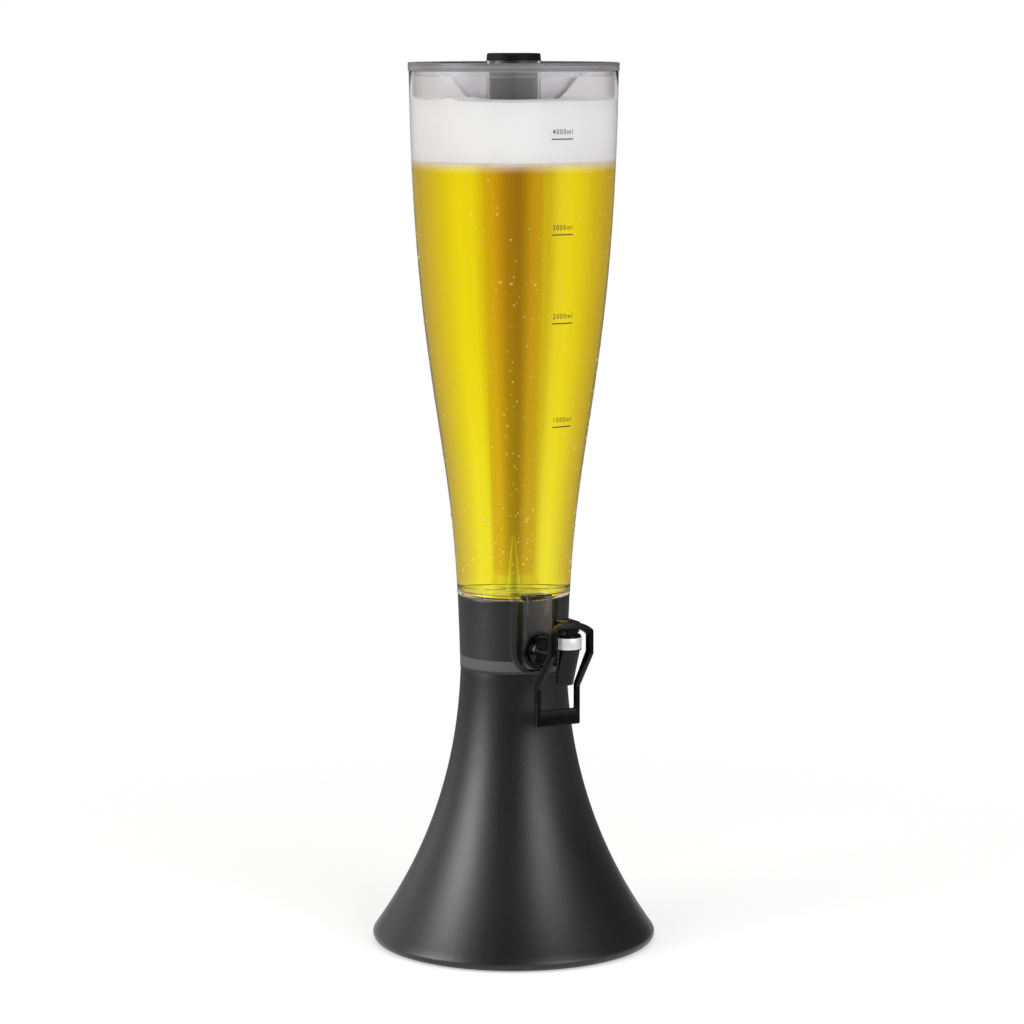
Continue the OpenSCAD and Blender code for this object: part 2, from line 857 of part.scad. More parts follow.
module tap_bonnet() {
    head_r = housing_r - 0.6;
    seal_top_z = bonnet_z + stem_seal_t + touch;
    color([0.04, 0.04, 0.045])
    on_tap_axis(0)
        rotate_extrude()
            polygon([
                [stem_r + running_gap, seal_top_z], [stem_seal_r + touch, seal_top_z],
                [stem_seal_r + touch, bonnet_z], [bonnet_thread_r - touch, bonnet_z],
                [bonnet_thread_r - touch, housing_top_z], [head_r, housing_top_z],
                [head_r, bonnet_top_z - edge], [head_r - edge, bonnet_top_z],
                [stem_r + running_gap, bonnet_top_z]
            ]);
}

module stem_seal() {
    color([0.5, 0.1, 0.08])
    on_tap_axis(bonnet_z)
        tube(stem_seal_r, stem_r + 0.1, stem_seal_t);
}

// ---- Valve ----

module tap_stem() {
    stem_collar_r = spring_room_r - 0.6;
    color([0.85, 0.85, 0.82])
    difference() {
        on_tap_axis(0)
            rotate_extrude()
                polygon(concat(
                    [[0, seal_edge_z], [seal_pin_r, seal_edge_z], [seal_pin_r, seal_edge_z + seal_h],
                     [stem_r, seal_edge_z + seal_h], [stem_r, stem_collar_z],
                     [stem_collar_r, stem_collar_z], [stem_collar_r, stem_collar_z + stem_collar_t],
                     [stem_r, stem_collar_z + stem_collar_t]],
                    arc([0, pin_z], stem_r, 0, 90, 8)
                ));
        translate([-stem_d, -tap_reach, pin_z])
            rotate([0, 90, 0])
                cylinder(r = pin_r + running_gap, h = 2 * stem_d);
    }
}

module valve_seal() {
    tip_z = seal_edge_z - seat_slope * (seal_r - seal_tip_r);
    color([0.75, 0.75, 0.72])
    on_tap_axis(0)
        rotate_extrude()
            polygon([
                [0, tip_z], [seal_tip_r, tip_z], [seal_r, seal_edge_z],
                [seal_r, seal_edge_z + seal_h], [seal_pin_r + touch, seal_edge_z + seal_h],
                [seal_pin_r + touch, seal_edge_z], [0, seal_edge_z]
            ]);
}

// Open coil on the stem, swept as one tube
module stem_spring() {
    steps = 16;
    sides = 6;
    count = round(spring_turns * steps);
    low = stem_collar_z + stem_collar_t + spring_wire / 2 + touch;
    high = bonnet_z - spring_wire / 2 - touch;
    pitch = (high - low) / spring_turns;
    rings = [for (i = [0:count], k = [0:sides - 1])
        let (a = i * 360 / steps, b = k * 360 / sides, r = spring_r + spring_wire / 2 * cos(b))
        [r * cos(a), r * sin(a), low + (high - low) * i / count + spring_wire / 2 * sin(b)]];
    walls = [for (i = [0:count - 1], k = [0:sides - 1])
        let (p = i * sides + k, q = i * sides + (k + 1) % sides) [p, p + sides, q + sides, q]];
    ends = [[for (k = [0:sides - 1]) k], [for (k = [sides - 1:-1:0]) count * sides + k]];
    echo(least_gap_between_turns = pitch - spring_wire);
    color([0.75, 0.76, 0.78])
    on_tap_axis(0)
        polyhedron(points = rings, faces = concat(walls, ends), convexity = 6);
}

// ---- Lever ----

// Arch with rounded shoulders, from its right foot over to its left foot
function arch_points(w, r, corner, top) =
    let (cz = top - r, cx = w / 2 - corner, sz = sqrt(pow(r - corner, 2) - cx * cx), a = atan2(sz, cx))
    concat(
        arc([cx, cz + sz], corner, 0, a, 5),
        arc([0, cz], r, a, 180 - a, 16),
        arc([-cx, cz + sz], corner, 180 - a, 180, 5)
    );

// The lever seen from the front: its outline, or its window when inset
module lever_outline(inset, top, foot, corner) {
    low = paddle_w / 2 - inset;
    polygon(concat(
        arch_points(lever_w - 2 * inset, arch_r - (arch_top_z - top), max(arch_corner_r - inset / 2, 1), top),
        [[-lever_w / 2 + inset, upper_bend_z], [-low, lower_bend_z]],
        arc([-low + corner, foot + corner], corner, 180, 270, 4),
        arc([low - corner, foot + corner], corner, 270, 360, 4),
        [[low, lower_bend_z], [lever_w / 2 - inset, upper_bend_z]]
    ));
}

// The lever seen from the side, as reach and height
module lever_side() {
    arch_back = arch_front - arch_depth;
    paddle_back = paddle_front - paddle_depth;
    polygon([
        [-arch_front, arch_top_z + over], [-arch_front, upper_bend_z], [-paddle_front, lower_bend_z],
        [-paddle_front, paddle_z - over], [-paddle_back, paddle_z - over],
        [-paddle_back, lower_bend_z + 1.5], [-arch_back, upper_bend_z + 1.5],
        [-arch_back, arch_top_z + over]
    ]);
}

module lever_hood() {
    back = tap_reach - hood_back;
    web_back = tap_reach + stem_r + web_gap;
    cheek_z = toe_z + toe_h;
    cheek_h = arch_top_z - cheek_z - hood_t / 2;
    // Roof over the stem
    translate([-hood_w / 2, -arch_front + over, arch_top_z - hood_t])
        cube([hood_w, arch_front - over - back, hood_t]);
    // Cheeks and bosses that carry the pin
    for (side = [-1, 1]) {
        translate([side * (hood_w - cheek_t) / 2 - cheek_t / 2, -web_back - over, cheek_z])
            cube([cheek_t, web_back + over - back - edge, cheek_h]);
        translate([side * (stem_r + slide_gap), -tap_reach, pin_z])
            rotate([0, side * 90, 0])
                cylinder(r = pin_r + boss_wall, h = hood_w / 2 - stem_r - slide_gap - cheek_t / 2);
    }
    // Web in front of the stem, whose toe bears on the bonnet
    translate([-web_w / 2, -arch_front, toe_z])
        cube([web_w, arch_front - web_back, arch_top_z - toe_z - arch_t / 2]);
    translate([-hood_w / 2, -web_back - over, cheek_z])
        cube([hood_w, over, cheek_h]);
}

module tap_lever() {
    color([0.05, 0.05, 0.055])
    difference() {
        union() {
            difference() {
                intersection() {
                    translate([-paddle_w, 0, 0])
                        rotate([90, 0, 90])
                            linear_extrude(2 * paddle_w)
                                lever_side();
                    facing(paddle_front - 2 * paddle_depth, arch_front + over)
                        lever_outline(0, arch_top_z, paddle_z, paddle_corner_r);
                }
                facing(paddle_front - 2 * paddle_depth, arch_front + over)
                    lever_outline(lever_leg, leg_top_z, paddle_top_z, paddle_corner_r / 2);
            }
            lever_hood();
        }
        // Room for the stem's round top between the bosses
        translate([-stem_r - slide_gap, -tap_reach, pin_z])
            rotate([0, 90, 0])
                cylinder(r = stem_r + stem_room, h = 2 * (stem_r + slide_gap));
        translate([-hood_w, -tap_reach, pin_z])
            rotate([0, 90, 0])
                cylinder(r = pin_r + touch / 2, h = 2 * hood_w);
    }
}

module lever_pin() {
    pin_l = hood_w - 0.4;
    color("silver")
    translate([-pin_l / 2, -tap_reach, pin_z])
        rotate([0, 90, 0])
            cylinder(r = pin_r, h = pin_l);
}

base_shell();
base_cover();
cover_screws();
foot_pads();
collar();
collar_screws();
vessel_body();
vessel_bottom();
lid();
ice_tube();
tube_cap();
cap_seal();
tap_body();
tap_gasket();
nut_gasket();
tap_nut();
tap_bonnet();
stem_seal();
chrome_band();
tap_stem();
valve_seal();
stem_spring();
tap_lever();
lever_pin();
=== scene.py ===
"""Looks of the beer tower dispenser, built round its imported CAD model. Metres; the tap points along -Y."""
import math
import random

import bmesh
import bpy
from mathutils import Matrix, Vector


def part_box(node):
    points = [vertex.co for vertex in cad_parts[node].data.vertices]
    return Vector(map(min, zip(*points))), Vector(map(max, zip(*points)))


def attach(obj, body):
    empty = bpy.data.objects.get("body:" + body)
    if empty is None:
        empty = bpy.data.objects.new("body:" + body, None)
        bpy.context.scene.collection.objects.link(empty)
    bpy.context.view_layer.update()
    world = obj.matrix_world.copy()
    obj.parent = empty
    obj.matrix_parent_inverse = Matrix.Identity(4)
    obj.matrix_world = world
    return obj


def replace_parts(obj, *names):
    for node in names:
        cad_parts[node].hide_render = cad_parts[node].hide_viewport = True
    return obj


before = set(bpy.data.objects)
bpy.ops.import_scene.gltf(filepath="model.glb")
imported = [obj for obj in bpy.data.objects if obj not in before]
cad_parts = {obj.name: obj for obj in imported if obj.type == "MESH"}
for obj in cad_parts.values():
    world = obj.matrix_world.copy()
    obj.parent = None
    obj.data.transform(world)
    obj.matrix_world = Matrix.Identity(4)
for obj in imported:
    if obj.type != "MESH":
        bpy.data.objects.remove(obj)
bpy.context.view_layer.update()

MM = 0.001
TURN_STEPS = 160        # faces round a turned piece
CURVE_STEPS = 44        # faces along a flared wall
FILLET_STEPS = 5


def low(node, axis=2):
    """Lowest place of a CAD node along an axis, in millimetres."""
    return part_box(node)[0][axis] / MM


def high(node, axis=2):
    """Highest place of a CAD node along an axis, in millimetres."""
    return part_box(node)[1][axis] / MM


# Levels and radii of the tower, in millimetres
BASE_R = high("base_shell", 0)
BASE_TOP_Z = low("collar") - 0.4
SEAT_Z = low("collar")
COLLAR_TOP_Z = high("collar")
FLOOR_Z = low("vessel_body")            # vessel's floor, inside
MOUTH_Z = high("vessel_body")
MOUTH_R = high("vessel_body", 0)
LID_TOP_Z = high("lid")
LID_R = high("lid", 0)
TUBE_Z = low("ice_tube")
TUBE_TOP_Z = high("ice_tube")
TUBE_SEAT_Z = low("lid") + 5.0
TUBE_R = 20.5
TUBE_FOOT_R = 13.5
CAP_TOP_Z = high("tube_cap")
PLUG_Z = low("tube_cap")
WALL = 2.4
TUBE_WALL = 1.8
TUBE_HOLLOW_Z = 315.0                   # top of the hollow in its foot
SUMP_FLOOR_Z = 218.4                    # sump's floor, inside
SUMP_HALF = 9.7                         # half of its width, inside
SUMP_NEAR, SUMP_FAR = 16.5, 39.5        # its reach from the axis, inside
DRINK_TOP_Z = 596.3
FOAM_TOP_Z = 641.0
FOAM_PEAKS = [(196.0, 0.05, 1.9), (205.0, 0.07, 2.2), (170.0, 0.05, 1.2)]   # degrees, radians, millimetres
KEEP_OFF = 0.05                         # the drink stops this far short of what holds it

flare_curve = [(107.5, 7.7), (63.19, 71.0), (42.71, 138.0), (40.5, BASE_TOP_Z)]
vessel_curve = [(43.0, FLOOR_Z), (48.56, 393.1), (75.43, 441.1), (MOUTH_R, MOUTH_Z)]


# ---- Shapes ----

def curve_at(p, t):
    """Point (radius, height) of a cubic curve, from its four corners p."""
    s = 1 - t
    return tuple(
        p[0][k] * s**3 + 3 * p[1][k] * t * s * s + 3 * p[2][k] * t * t * s + p[3][k] * t**3
        for k in (0, 1)
    )


def heading_at(p, t):
    """Which way that curve runs at t."""
    s = 1 - t
    return tuple(
        (p[1][k] - p[0][k]) * s * s + 2 * (p[2][k] - p[1][k]) * t * s + (p[3][k] - p[2][k]) * t * t
        for k in (0, 1)
    )


def wall_line(p, depth=0.0, steps=CURVE_STEPS):
    """Points up a wall's curve, moved in from its outside by depth."""
    line = []
    for i in range(steps + 1):
        (r, z), (dr, dz) = curve_at(p, i / steps), heading_at(p, i / steps)
        size = math.hypot(dr, dz)
        line.append((r - depth * dz / size, z + depth * dr / size))
    return line


def wall_radius(z, depth=0.0):
    """Radius of the vessel's wall at a height, moved in by depth."""
    line = wall_line(vessel_curve, depth)
    for (r0, z0), (r1, z1) in zip(line, line[1:]):
        if z <= z1:
            return r0 + (r1 - r0) * (z - z0) / (z1 - z0)
    return line[-1][0]


def tube_radius(z):
    """Outer radius of the ice tube's tapering part at a height."""
    return TUBE_FOOT_R + (TUBE_R - TUBE_FOOT_R) * (z - TUBE_Z) / (TUBE_SEAT_Z - 5.0 - TUBE_Z)


def between(line, bottom, top):
    """The points of a line that lie between two heights."""
    return [(r, z) for r, z in line if bottom < z < top]


def rounded(points):
    """A profile of (radius, height) or (radius, height, fillet) with its fillets drawn."""
    out = []
    count = len(points)
    for i, point in enumerate(points):
        here = Vector(point[:2])
        if len(point) < 3:
            out.append(tuple(here))
            continue
        before = Vector(points[i - 1][:2]) - here
        after = Vector(points[(i + 1) % count][:2]) - here
        half = before.angle(after) / 2
        back = min(point[2] / math.tan(half), 0.48 * before.length, 0.48 * after.length)
        start, end = here + before.normalized() * back, here + after.normalized() * back
        for k in range(FILLET_STEPS + 1):
            t = k / FILLET_STEPS
            out.append(tuple(start * (1 - t) ** 2 + here * 2 * t * (1 - t) + end * t * t))
    return out


def new_piece(name, mesh, body, slot, *materials, smooth=32.0):
    """A named piece that rides on a body, shaded smooth but for its edges."""
    piece = bpy.data.objects.new(name, mesh)
    bpy.context.scene.collection.objects.link(piece)
    for material in materials:
        mesh.materials.append(material)
    mesh.shade_smooth()
    mesh.set_sharp_from_angle(angle=math.radians(smooth))
    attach(piece, body)
    return piece


def turned_mesh(name, profile, wave=None):
    """A closed solid turned about the tower's axis from a profile of (radius, height) in millimetres."""
    shape = bmesh.new()
    rings = []
    for r, z in profile:
        if r < 1e-4:
            rings.append([shape.verts.new((0, 0, z * MM))])
            continue
        ring = []
        for k in range(TURN_STEPS):
            a = 2 * math.pi * k / TURN_STEPS
            lift = wave(r, a, z) if wave else 0.0
            ring.append(shape.verts.new((r * math.cos(a) * MM, r * math.sin(a) * MM, (z + lift) * MM)))
        rings.append(ring)
    for below, above in zip(rings, rings[1:] + rings[:1]):
        for k in range(TURN_STEPS):
            n = (k + 1) % TURN_STEPS
            if len(below) > 1 and len(above) > 1:
                shape.faces.new((below[k], below[n], above[n], above[k]))
            elif len(above) > 1:
                shape.faces.new((below[0], above[n], above[k]))
            elif len(below) > 1:
                shape.faces.new((below[k], below[n], above[0]))
    bmesh.ops.recalc_face_normals(shape, faces=shape.faces)
    mesh = bpy.data.meshes.new(name)
    shape.to_mesh(mesh)
    shape.free()
    return mesh


def turned(name, profile, body, slot, *materials, smooth=32.0):
    """A turned piece, with the fillets of its profile drawn."""
    mesh = turned_mesh(name, rounded(profile))
    return new_piece(name, mesh, body, slot, *materials, smooth=smooth)


def share_out(mesh, choose):
    """Gives each face the material whose number choose(radius, centre, normal) returns, in millimetres."""
    for face in mesh.polygons:
        centre = face.center / MM
        face.material_index = int(choose(math.hypot(centre.x, centre.y), centre, face.normal))


def dress(node, *materials, edge=0.3, smooth=32.0, choose=None):
    """A CAD node kept as it is, with broken edges and smooth shading."""
    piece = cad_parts[node]
    mesh = piece.data
    mesh.materials.clear()
    for material in materials:
        mesh.materials.append(material)
    if choose:
        share_out(mesh, choose)
    if mesh.has_custom_normals:
        mesh.attributes.remove(mesh.attributes["custom_normal"])
    mesh.shade_smooth()
    weld = piece.modifiers.new("weld", "WELD")
    weld.merge_threshold = 1e-5
    if edge:
        flats = piece.modifiers.new("flats", "DECIMATE")
        flats.decimate_type = "DISSOLVE"
        flats.angle_limit = math.radians(0.4)
        flats.delimit = {"MATERIAL"}
        broken = piece.modifiers.new("broken_edges", "BEVEL")
        broken.width = edge * MM
        broken.segments = 2
        broken.limit_method = "ANGLE"
        broken.angle_limit = math.radians(smooth)
        broken.harden_normals = False
    split = piece.modifiers.new("edges", "EDGE_SPLIT")
    split.split_angle = math.radians(smooth if not edge else 46.0)
    return piece


# ---- Finishes ----

def new_group(name, inputs, outputs):
    """A shader node group with its named inputs and outputs, and the nodes that carry them."""
    group = bpy.data.node_groups.new(name, "ShaderNodeTree")
    for socket, value in inputs.items():
        made = group.interface.new_socket(socket, in_out="INPUT", socket_type="NodeSocketFloat")
        made.default_value = value
    for socket in outputs:
        group.interface.new_socket(socket, in_out="OUTPUT", socket_type="NodeSocketFloat")
    return group, group.nodes.new("NodeGroupInput"), group.nodes.new("NodeGroupOutput")


def add(tree, kind, _settings=None, **values):
    """A node with its sockets set; a value that is a socket is linked."""
    made = tree.nodes.new(kind)
    for key, value in (_settings or {}).items():
        setattr(made, key, value)
    for key, value in values.items():
        numbered = key[0] == "i" and key[1:].isdigit()
        socket = made.inputs[int(key[1:]) if numbered else key.replace("_", " ")]
        if isinstance(value, bpy.types.NodeSocket):
            tree.links.new(value, socket)
        else:
            socket.default_value = value
    return made


def math_node(tree, operation, *values):
    """The result of a Math node."""
    sockets = {f"i{k}": value for k, value in enumerate(values)}
    return add(tree, "ShaderNodeMath", {"operation": operation}, **sockets).outputs[0]


def grain_group():
    """Fine grain of a spark-eroded mould: its height, and how far it opens the gloss."""
    group, source, result = new_group("moulded_grain", {"Size": 1.0}, ["Height", "Gloss"])
    place = add(group, "ShaderNodeTexCoord").outputs["Object"]
    fine = math_node(group, "DIVIDE", 1500.0, source.outputs["Size"])
    coarse = math_node(group, "DIVIDE", 620.0, source.outputs["Size"])
    pits = add(group, "ShaderNodeTexNoise", Vector=place, Scale=fine, Detail=2.0)
    swell = add(group, "ShaderNodeTexNoise", Vector=place, Scale=coarse, Detail=3.0)
    cloud = add(group, "ShaderNodeTexNoise", Vector=place, Scale=26.0, Detail=4.0)
    height = math_node(group, "MULTIPLY_ADD", pits.outputs["Fac"], 0.6, swell.outputs["Fac"])
    group.links.new(height, result.inputs["Height"])
    group.links.new(cloud.outputs["Fac"], result.inputs["Gloss"])
    return group


def marks_group():
    """Finger marks, wiping streaks and a little dust, as a mask."""
    group, source, result = new_group("handling_marks", {"Amount": 1.0}, ["Marks"])
    place = add(group, "ShaderNodeTexCoord").outputs["Object"]
    patch = add(group, "ShaderNodeTexNoise", Vector=place, Scale=38.0, Detail=3.0, Roughness=0.6)
    patches = add(group, "ShaderNodeMapRange", i0=patch.outputs["Fac"], i1=0.5, i2=0.72)
    stretch = add(group, "ShaderNodeMapping", Vector=place, Scale=(1.0, 1.0, 0.16))
    streak = add(group, "ShaderNodeTexNoise", Vector=stretch.outputs[0], Scale=420.0, Detail=2.0)
    streaks = add(group, "ShaderNodeMapRange", i0=streak.outputs["Fac"], i1=0.56, i2=0.8)
    both = math_node(group, "MULTIPLY_ADD", streaks.outputs[0], 0.35, patches.outputs[0])
    group.links.new(math_node(group, "MULTIPLY", both, source.outputs["Amount"]), result.inputs["Marks"])
    return group


GRAIN = grain_group()
MARKS = marks_group()


def new_material(name):
    """A material with its tree, its Principled BSDF and its output."""
    material = bpy.data.materials.new(name)
    material.use_nodes = True
    tree = material.node_tree
    return material, tree, tree.nodes["Principled BSDF"], tree.nodes["Material Output"]


def place_group(tree, group, **values):
    """A node group placed in a material, with its own values."""
    made = tree.nodes.new("ShaderNodeGroup")
    made.node_tree = group
    for key, value in values.items():
        made.inputs[key].default_value = value
    return made


def vary(tree, factor, start, end):
    """A number that runs from start to end as factor runs from 0 to 1."""
    return add(tree, "ShaderNodeMapRange", i0=factor, i3=start, i4=end).outputs[0]


def tint(tree, factor, one, other):
    """A colour that runs from one to the other with factor."""
    mix = add(tree, "ShaderNodeMix", {"data_type": "RGBA"}, i0=factor)
    mix.inputs[6].default_value = (*one, 1.0)
    mix.inputs[7].default_value = (*other, 1.0)
    return mix.outputs[2]


def moulded_plastic(name, dark, light, rough, grain=1.0, depth=0.25, specular=0.5, marks=0.6):
    """Satin moulded plastic with a fine even grain and faint handling marks."""
    material, tree, plastic, _ = new_material(name)
    texture = place_group(tree, GRAIN, Size=grain)
    wiped = place_group(tree, MARKS, Amount=marks)
    tree.links.new(tint(tree, texture.outputs["Gloss"], dark, light), plastic.inputs["Base Color"])
    open_gloss = vary(tree, texture.outputs["Gloss"], rough - 0.05, rough + 0.05)
    worn = math_node(tree, "MULTIPLY_ADD", wiped.outputs["Marks"], 0.05, open_gloss)
    tree.links.new(worn, plastic.inputs["Roughness"])
    relief = add(tree, "ShaderNodeBump", Strength=depth, Distance=0.0002, Height=texture.outputs["Height"])
    tree.links.new(relief.outputs[0], plastic.inputs["Normal"])
    plastic.inputs["Specular IOR Level"].default_value = specular
    return material


def polished(name, colour, rough=0.06, marks=1.0, specular=0.5, wave=0.04, metallic=0.0):
    """Polished plastic or plating: nearly smooth, with sink waves and finger marks in its gloss."""
    material, tree, surface, _ = new_material(name)
    wiped = place_group(tree, MARKS, Amount=marks)
    smeared = [c * 0.9 + 0.004 for c in colour]
    tree.links.new(tint(tree, wiped.outputs["Marks"], colour, smeared), surface.inputs["Base Color"])
    tree.links.new(vary(tree, wiped.outputs["Marks"], rough, rough + 0.1), surface.inputs["Roughness"])
    place = add(tree, "ShaderNodeTexCoord")
    sink = add(tree, "ShaderNodeTexNoise", Vector=place.outputs["Object"], Scale=120.0, Detail=1.0)
    relief = add(tree, "ShaderNodeBump", Strength=wave, Distance=0.001, Height=sink.outputs["Fac"])
    tree.links.new(relief.outputs[0], surface.inputs["Normal"])
    surface.inputs["Specular IOR Level"].default_value = specular
    surface.inputs["Metallic"].default_value = metallic
    return material


def clear(name, ior, tinted=(1.0, 1.0, 1.0), smoke=None, density=0.0, rough=0.0, marks=0.5, lamps=0.92,
          mist=0.0, clarity=1.0):
    """Clear plastic or liquid. Lamps shine through it unbent; smoke is what its own thickness takes away.

    Mist is the roughness met from the air's side only; less clarity is a milky surface.
    """
    material, tree, surface, output = new_material(name)
    surface.inputs["Transmission Weight"].default_value = clarity
    surface.inputs["IOR"].default_value = ior
    surface.inputs["Base Color"].default_value = (*tinted, 1.0)
    wiped = place_group(tree, MARKS, Amount=marks)
    worn = vary(tree, wiped.outputs["Marks"], rough, rough + 0.04 * marks)
    if mist:
        side = tree.nodes.new("ShaderNodeNewGeometry").outputs["Backfacing"]
        worn = math_node(tree, "MULTIPLY_ADD", math_node(tree, "SUBTRACT", 1.0, side), mist, worn)
    tree.links.new(worn, surface.inputs["Roughness"])
    path = add(tree, "ShaderNodeLightPath")
    through = add(tree, "ShaderNodeBsdfTransparent")
    through.inputs["Color"].default_value = (*[lamps * c for c in tinted], 1.0)
    choice = add(tree, "ShaderNodeMixShader", i0=path.outputs["Is Shadow Ray"], i1=surface.outputs[0],
                 i2=through.outputs[0])
    tree.links.new(choice.outputs[0], output.inputs["Surface"])
    if smoke:
        inside = add(tree, "ShaderNodeVolumeAbsorption", Density=density)
        inside.inputs["Color"].default_value = (*smoke, 1.0)
        tree.links.new(inside.outputs[0], output.inputs["Volume"])
    return material


def foam_material():
    """Close foam: tiny cells, with paler and darker clots."""
    material, tree, surface, _ = new_material("foam")
    place = add(tree, "ShaderNodeTexCoord")
    cells = add(tree, "ShaderNodeTexVoronoi", Vector=place.outputs["Object"], Scale=900.0)
    clots = add(tree, "ShaderNodeTexNoise", Vector=place.outputs["Object"], Scale=55.0, Detail=5.0)
    colour = tint(tree, clots.outputs["Fac"], (0.87, 0.885, 0.885), (0.93, 0.945, 0.945))
    tree.links.new(colour, surface.inputs["Base Color"])
    surface.inputs["Roughness"].default_value = 0.75
    surface.inputs["Specular IOR Level"].default_value = 0.2
    relief = add(tree, "ShaderNodeBump", Strength=0.15, Distance=0.0005, Height=cells.outputs["Distance"])
    tree.links.new(relief.outputs[0], surface.inputs["Normal"])
    return material


def foam_thinning(reach):
    """Foam that thins out over a few millimetres below the foam's underside."""
    material, tree, surface, _ = new_material("foam_thinning")
    place = add(tree, "ShaderNodeTexCoord").outputs["Object"]
    height = add(tree, "ShaderNodeSeparateXYZ", i0=place).outputs["Z"]
    bottom = (DRINK_TOP_Z - reach) * MM
    part = add(tree, "ShaderNodeMapRange", i0=height, i1=bottom, i2=DRINK_TOP_Z * MM).outputs[0]
    clots = add(tree, "ShaderNodeTexNoise", Vector=place, Scale=70.0, Detail=3.0).outputs["Fac"]
    shifted = math_node(tree, "MULTIPLY_ADD", math_node(tree, "SUBTRACT", clots, 0.5), 0.25, part)
    steep = math_node(tree, "POWER", math_node(tree, "MAXIMUM", shifted, 0.0), 2.2)
    tree.links.new(math_node(tree, "MINIMUM", steep, 1.0), surface.inputs["Alpha"])
    surface.inputs["Base Color"].default_value = (0.9, 0.88, 0.8, 1)
    surface.inputs["Roughness"].default_value = 0.8
    surface.inputs["Specular IOR Level"].default_value = 0.1
    return material


PLASTIC_IOR = 1.49
DRINK_IOR = 1.34
WET_IOR = PLASTIC_IOR / DRINK_IOR       # where clear plastic meets the drink

base_satin = moulded_plastic("base_satin", (0.0078, 0.0077, 0.0075), (0.0102, 0.01, 0.0098),
                             0.34, depth=0.4)
collar_satin = moulded_plastic("collar_satin", (0.0078, 0.0077, 0.0076), (0.0102, 0.01, 0.0099),
                               0.34, depth=0.4, specular=0.95)
base_inside = moulded_plastic("base_inside", (0.08, 0.08, 0.08), (0.095, 0.095, 0.095), 0.6, grain=2.0)
cover_matt = moulded_plastic("cover_matt", (0.014, 0.014, 0.014), (0.02, 0.02, 0.02), 0.62, grain=2.0)
cap_satin = moulded_plastic("cap_satin", (0.004, 0.004, 0.005), (0.006, 0.006, 0.007), 0.5,
                            depth=0.15, specular=0.12)
pad_rubber = moulded_plastic("pad_rubber", (0.012, 0.012, 0.012), (0.02, 0.02, 0.02), 0.8,
                             grain=3.0, specular=0.3)
seal_rubber = moulded_plastic("seal_rubber", (0.005, 0.005, 0.005), (0.008, 0.008, 0.008), 0.3,
                              depth=0.1, specular=0.3)
seal_silicone = moulded_plastic("seal_silicone", (0.5, 0.5, 0.47), (0.58, 0.58, 0.55), 0.5, depth=0.1)
stem_acetal = moulded_plastic("stem_acetal", (0.7, 0.7, 0.66), (0.76, 0.76, 0.72), 0.3, depth=0.05)
tap_gloss = polished("tap_gloss", (0.002, 0.002, 0.0023), rough=0.08, specular=0.2)
lever_gloss = polished("lever_gloss", (0.0022, 0.0022, 0.0022), rough=0.13, specular=0.16, wave=0.02)
band_chrome = polished("band_chrome", (0.9, 0.9, 0.91), rough=0.34, metallic=0.4, wave=0.05, marks=0.3)
screw_steel = polished("screw_steel", (0.55, 0.55, 0.56), rough=0.28, metallic=1.0)
vessel_clear = clear("vessel_clear", PLASTIC_IOR)
vessel_wet = clear("vessel_wet", WET_IOR, marks=0.0, rough=0.06)
vessel_misted = clear("vessel_misted", PLASTIC_IOR, mist=0.4)
bottom_wet = clear("bottom_wet", 1.03, marks=0.0, rough=0.1)
bonded = clear("bonded", 1.0, marks=0.0, lamps=1.0)
sump_frosted = clear("sump_frosted", PLASTIC_IOR, tinted=(0.8, 0.79, 0.83), rough=0.16, clarity=0.95)
lid_smoke = clear("lid_smoke", PLASTIC_IOR, tinted=(0.99, 0.99, 1.0), smoke=(0.5, 0.5, 0.53), density=19.0,
                  lamps=0.8, rough=0.06)
lid_edge = clear("lid_edge", PLASTIC_IOR, tinted=(0.6, 0.6, 0.63), smoke=(0.5, 0.5, 0.53), density=24.0,
                 lamps=0.8, rough=0.25, clarity=0.75)
tube_clear = clear("tube_clear", PLASTIC_IOR)
tube_wet = clear("tube_wet", 1.0, marks=0.0)
drink_amber = clear("drink_amber", 1.0, smoke=(0.984, 0.946, 0.04), density=50.0, marks=0.0, lamps=1.0)
# The ice tube's drink takes a darker, redder smoke than the drink round it: painted shade for the dark band
# down the tube's middle.
drink_core_painted_shade = clear("drink_core_painted_shade", 1.0, smoke=(0.93, 0.51, 0.3), density=30.0, marks=0.0, lamps=1.0)
# The sump's drink takes a far darker smoke than the drink above it: painted shade for the sump, which lies
# out of the light.
drink_painted_shade = clear("drink_painted_shade", 1.0, smoke=(0.4, 0.37, 0.25), density=110.0, marks=0.0, lamps=1.0)
# The drops' yellow tint and milky part are painted amber glints, in place of the drink's light that clear
# water would only bend.
drop_water_painted_glint = clear("drop_water_painted_glint", 1.33, tinted=(1.0, 0.93, 0.5), marks=0.0, clarity=0.82)
scale_ink = moulded_plastic("scale_ink", (0.008, 0.008, 0.007), (0.014, 0.014, 0.012), 0.5, depth=0.0)
foam_white = foam_material()


# ---- Base and collar ----

def base_shell():
    """Flared shell with a rolled lip, a deck with a spigot on top, and the hollow below."""
    lip = [(BASE_R - 4.3, 0.8), (BASE_R - 3.0, 0.9), (BASE_R - 1.6, 1.7), (BASE_R - 0.5, 3.2),
           (BASE_R, 4.8), (BASE_R - 0.1, 6.3)]
    outside = wall_line(flare_curve)
    inside = wall_line(flare_curve, 3.0)
    deck = [(40.5, BASE_TOP_Z, 0.4), (39.6, BASE_TOP_Z), (39.6, SEAT_Z), (23.3, SEAT_Z),
            (23.3, SEAT_Z + 1.8, 0.3), (19.0, SEAT_Z + 1.8, 0.3), (19.0, SEAT_Z - 3.6), (37.6, SEAT_Z - 3.6)]
    hollow = [p for p in reversed(inside) if 9.0 < p[1] < SEAT_Z - 5.0]
    profile = lip + outside[:-1] + deck + hollow + [(102.4, 9.0), (102.4, 0.8, 0.3)]
    piece = turned("base_shell_moulding", profile, "base", "base_black", base_satin, smooth=40.0)
    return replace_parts(piece, "base_shell")


